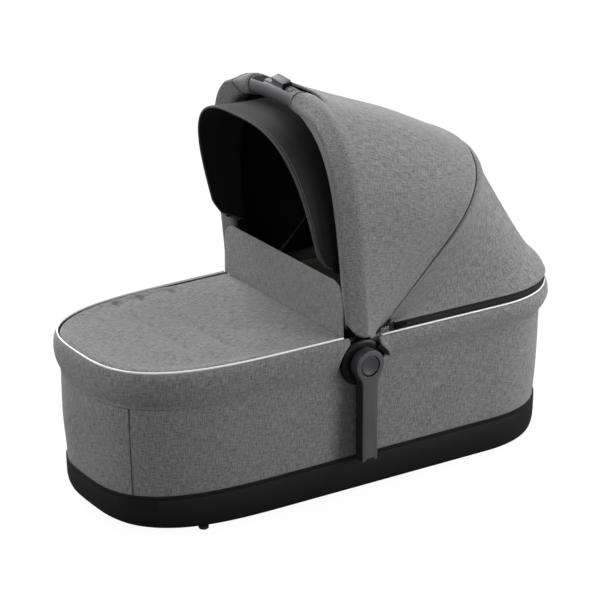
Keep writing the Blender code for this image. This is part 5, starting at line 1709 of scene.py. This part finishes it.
        def lines(t: float) -> list[Vector]:
            """Points down the rear panel."""
            seam = self.seam_point(t)
            foot = walk.at(t, 0.0002, self.zip_top + 0.0004)
            down = (foot - seam).normalized()
            rows = [self.seam_point(t, 0.0024) + down * 0.0004, seam + down * 0.0022]
            rows += [seam.lerp(foot, k / 6) for k in range(1, 6)]
            return rows + [foot + Vector((0, 0, 0.002)), foot]

        def place(u: float, v: float) -> Vector:
            """A point of the panel."""
            point = curve_through(lines(pace.share(u)), v)
            soft = math.sin(math.pi * v) ** 2
            inward = inside - point
            hollow = self.rear_hollow * math.sin(math.pi * v ** 1.6) ** 2
            return point + inward.normalized() * (0.0014 * soft * (0.6 + ripple(point, 0.1, 9.0)) + hollow)

        middle = lines(0.5)
        length = sum((b - a).length for a, b in zip(middle, middle[1:]))
        bm = Loom.lay(216, 40, place, (pace.length, length))
        Loom.face_out(bm, lambda p: inside)
        rear = self.shop.piece("rear_canopy_cover", bm, MELANGE, HOOD_LINING, thickness=self.thickness)
        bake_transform(rear)
        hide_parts("rear_canopy")

    @staticmethod
    def area(made: Thing) -> float:
        """The area of a panel's one face, in square metres."""
        return round(sum(p.area for p in made.data.polygons), 4)


@dataclass
class SunVisor:
    """The visor in front of the handle bow, with its rolled edges and black lining."""

    shop: Workshop
    thickness: float = 0.003
    front: Arch = Arch(0.1535, 0.205, 0.394, 3.0, 0.1765)
    rear: Arch = Arch(0.1535, 0.205, 0.379, 2.5, 0.1415)
    front_angle: float = math.radians(104.5)
    rear_angle: float = math.radians(94.0)
    reach: float = 0.020
    corner: float = 0.22
    corner_run: float = 0.045
    bottom_share: float = 0.06

    def point(self, t: float, v: float) -> Vector:
        """A point of the visor's outer face, from its front edge to its rear edge."""
        side, along = self.front.pair(t)
        front = hub_point(self.front_angle, along, side, self.reach)
        side, along = self.rear.pair(t)
        rear = hub_point(self.rear_angle, along, side)
        leg = max(1 - min(t, 1 - t) / self.corner_run, 0.0)
        return front.lerp(rear, v + (1 - v) * self.corner * leg ** 2)

    def build(self) -> None:
        """Make the visor's panel and the two tapes of its edge."""
        pace = Pace(lambda t: self.point(t, 0.0), 1500)
        inside = HUB_MIDDLE + Vector((-0.05, 0.0, 0.05))

        def place(u: float, v: float) -> Vector:
            """A point of the panel, slightly full between its edges."""
            point = self.point(pace.share(u), v)
            out = (point - inside).normalized()
            return point + out * (-0.0008 * math.sin(math.pi * v) * (0.5 + ripple(point, 0.08, 4.0)))

        width = (self.point(0.5, 0.0) - self.point(0.5, 1.0)).length
        bm = Loom.lay(180, 26, place, (pace.length, width))
        Loom.face_out(bm, lambda p: inside)
        visor = self.shop.piece("visor_panel", bm, VISOR_CLOTH, VISOR_LINING, thickness=self.thickness,
                                on=("visor", "black_fabric", "sun_visor"))
        Hood.area(visor)
        for name, v, radius, sink in (("outer", 0.0, 0.0019, 0.0012), ("inner", 0.055, 0.0012, 0.0002)):

            def edge(w: float, v: float = v, sink: float = sink) -> Vector:
                """The tape's middle line: along one bottom edge, over the front and back along the other."""
                away = max(1 - min(w, 1 - w) / self.bottom_share, 0.0)
                t = clamp((w - self.bottom_share) / (1 - 2 * self.bottom_share))
                point = self.point(t, v + (0.97 - v) * away)
                return point - (point - inside).normalized() * sink

            bm = Loom.tube(edge, radius, 260, 10, up=Vector((1, 0, 0)))
            self.shop.piece(f"visor_tape_{name}", bm, VISOR_EDGE, on=("visor", "black_fabric"))


@dataclass
class Studio:
    """The floor, the light and the camera."""

    camera: tuple[float, float, float] = (-2.1303, -3.2455, 1.7791)
    target: tuple[float, float, float] = (-0.1505, -0.2090, 0.3703)
    roll: float = math.radians(-0.08)
    lens: float = 156.0
    sensor: float = 36.0
    sky: float = 0.15
    backdrop: float = 1.0
    floor_glow: float = 1.2
    floor_share: float = 0.8
    lamps: tuple[tuple[str, tuple[float, float, float], float, float], ...] = (
        ("left_high", (-2.6, 0.3, 2.4), 2.0, 48.0),
        ("near_right", (2.6, -2.4, 1.5), 1.6, 28.0),
        ("near_right_close", (1.3, -1.6, 0.6), 0.9, 14.0),
        ("right_high", (2.4, 0.0, 2.6), 2.0, 62.0),
        ("back", (0.0, 3.2, 2.2), 2.2, 131.0),
    )

    def build(self) -> None:
        """Set up everything that isn't the carrycot."""
        self.build_floor()
        self.build_world()
        for name, place, size, power in self.lamps:
            data = bpy.data.lights.new(name, "AREA")
            data.size, data.energy = size, power
            lamp = bpy.data.objects.new(name, data)
            lamp.location = place
            aim = Vector((0, 0, 0.25)) - Vector(place)
            lamp.rotation_euler = aim.to_track_quat("-Z", "Y").to_euler()
            bpy.context.scene.collection.objects.link(lamp)
        data = bpy.data.cameras.new("camera")
        data.lens, data.sensor_width = self.lens, self.sensor
        data.clip_start, data.clip_end = 0.05, 60.0
        camera = bpy.data.objects.new("camera", data)
        bpy.context.scene.collection.objects.link(camera)
        away = Vector(self.camera) - Vector(self.target)
        turn = (-away).to_track_quat("-Z", "Y").to_matrix().to_4x4()
        camera.matrix_world = Matrix.Translation(self.camera) @ turn @ Matrix.Rotation(self.roll, 4, "Z")
        bpy.context.scene.camera = camera
        bpy.context.scene.view_settings.view_transform = "Standard"

    def build_floor(self) -> None:
        """A pale floor that shows white to the camera and keeps a soft shadow."""
        bm = bmesh.new()
        bmesh.ops.create_grid(bm, x_segments=1, y_segments=1, size=12.0)
        bmesh.ops.translate(bm, vec=(0, 0, -0.0002), verts=bm.verts)
        mesh = bpy.data.meshes.new("floor")
        bm.to_mesh(mesh)
        bm.free()
        graph = Graph("floor_white")
        graph.set(Base_Color=(0.3, 0.3, 0.3, 1.0), Roughness=0.9, Specular_IOR_Level=0.0)
        seen = graph.node("ShaderNodeLightPath", out="Is Camera Ray")
        glow = graph.node("ShaderNodeEmission", sockets={"Color": (1, 1, 1, 1), "Strength": self.floor_glow})
        mixed = graph.node("ShaderNodeMixShader", sockets={0: seen * self.floor_share})
        graph.tree.links.new(graph.shader.outputs[0], mixed.socket.node.inputs[1])
        graph.tree.links.new(glow.socket, mixed.socket.node.inputs[2])
        output = graph.tree.nodes["Material Output"]
        graph.tree.links.new(mixed.socket, output.inputs["Surface"])
        mesh.materials.append(graph.material)
        floor = bpy.data.objects.new("floor", mesh)
        bpy.context.scene.collection.objects.link(floor)

    def build_world(self) -> None:
        """A soft even sky that shows white to the camera, in what shines and through what is clear."""
        world = bpy.data.worlds.new("studio")
        bpy.context.scene.world = world
        world.use_nodes = True
        tree = world.node_tree
        sky = tree.nodes["Background"]
        sky.inputs["Color"].default_value = (1, 1, 1, 1)
        sky.inputs["Strength"].default_value = self.sky
        white = tree.nodes.new("ShaderNodeBackground")
        white.inputs["Strength"].default_value = self.backdrop
        rays = tree.nodes.new("ShaderNodeLightPath")
        chosen = rays.outputs["Is Camera Ray"]
        for name in ("Is Glossy Ray", "Is Transmission Ray"):
            most = tree.nodes.new("ShaderNodeMath")
            most.operation = "MAXIMUM"
            tree.links.new(chosen, most.inputs[0])
            tree.links.new(rays.outputs[name], most.inputs[1])
            chosen = most.outputs[0]
        mixed = tree.nodes.new("ShaderNodeMixShader")
        tree.links.new(chosen, mixed.inputs[0])
        tree.links.new(sky.outputs[0], mixed.inputs[1])
        tree.links.new(white.outputs[0], mixed.inputs[2])
        tree.links.new(mixed.outputs[0], tree.nodes["World Output"].inputs["Surface"])


def main() -> None:
    """Build the carrycot's looks and its studio."""
    logging.basicConfig(level=logging.INFO, format="%(name)s %(message)s")
    shop = Workshop()
    shop.paint_node(BOARD, "wall_board")
    shop.paint_node(STEEL, "rim_tube_front", "rim_tube_rear")
    parts = [TrayBase(shop), BodyCover(shop), Apron(shop), WindFlap(shop), Mattress(shop), ZipRun(shop),
             Hub(shop, Side.RIGHT), Hub(shop, Side.LEFT), CarryHandle(shop), Hood(shop), SunVisor(shop),
             Studio()]
    for part in parts:
        LOG.info("building %s", type(part).__name__)
        part.build()


if __name__ == "__main__":
    main()
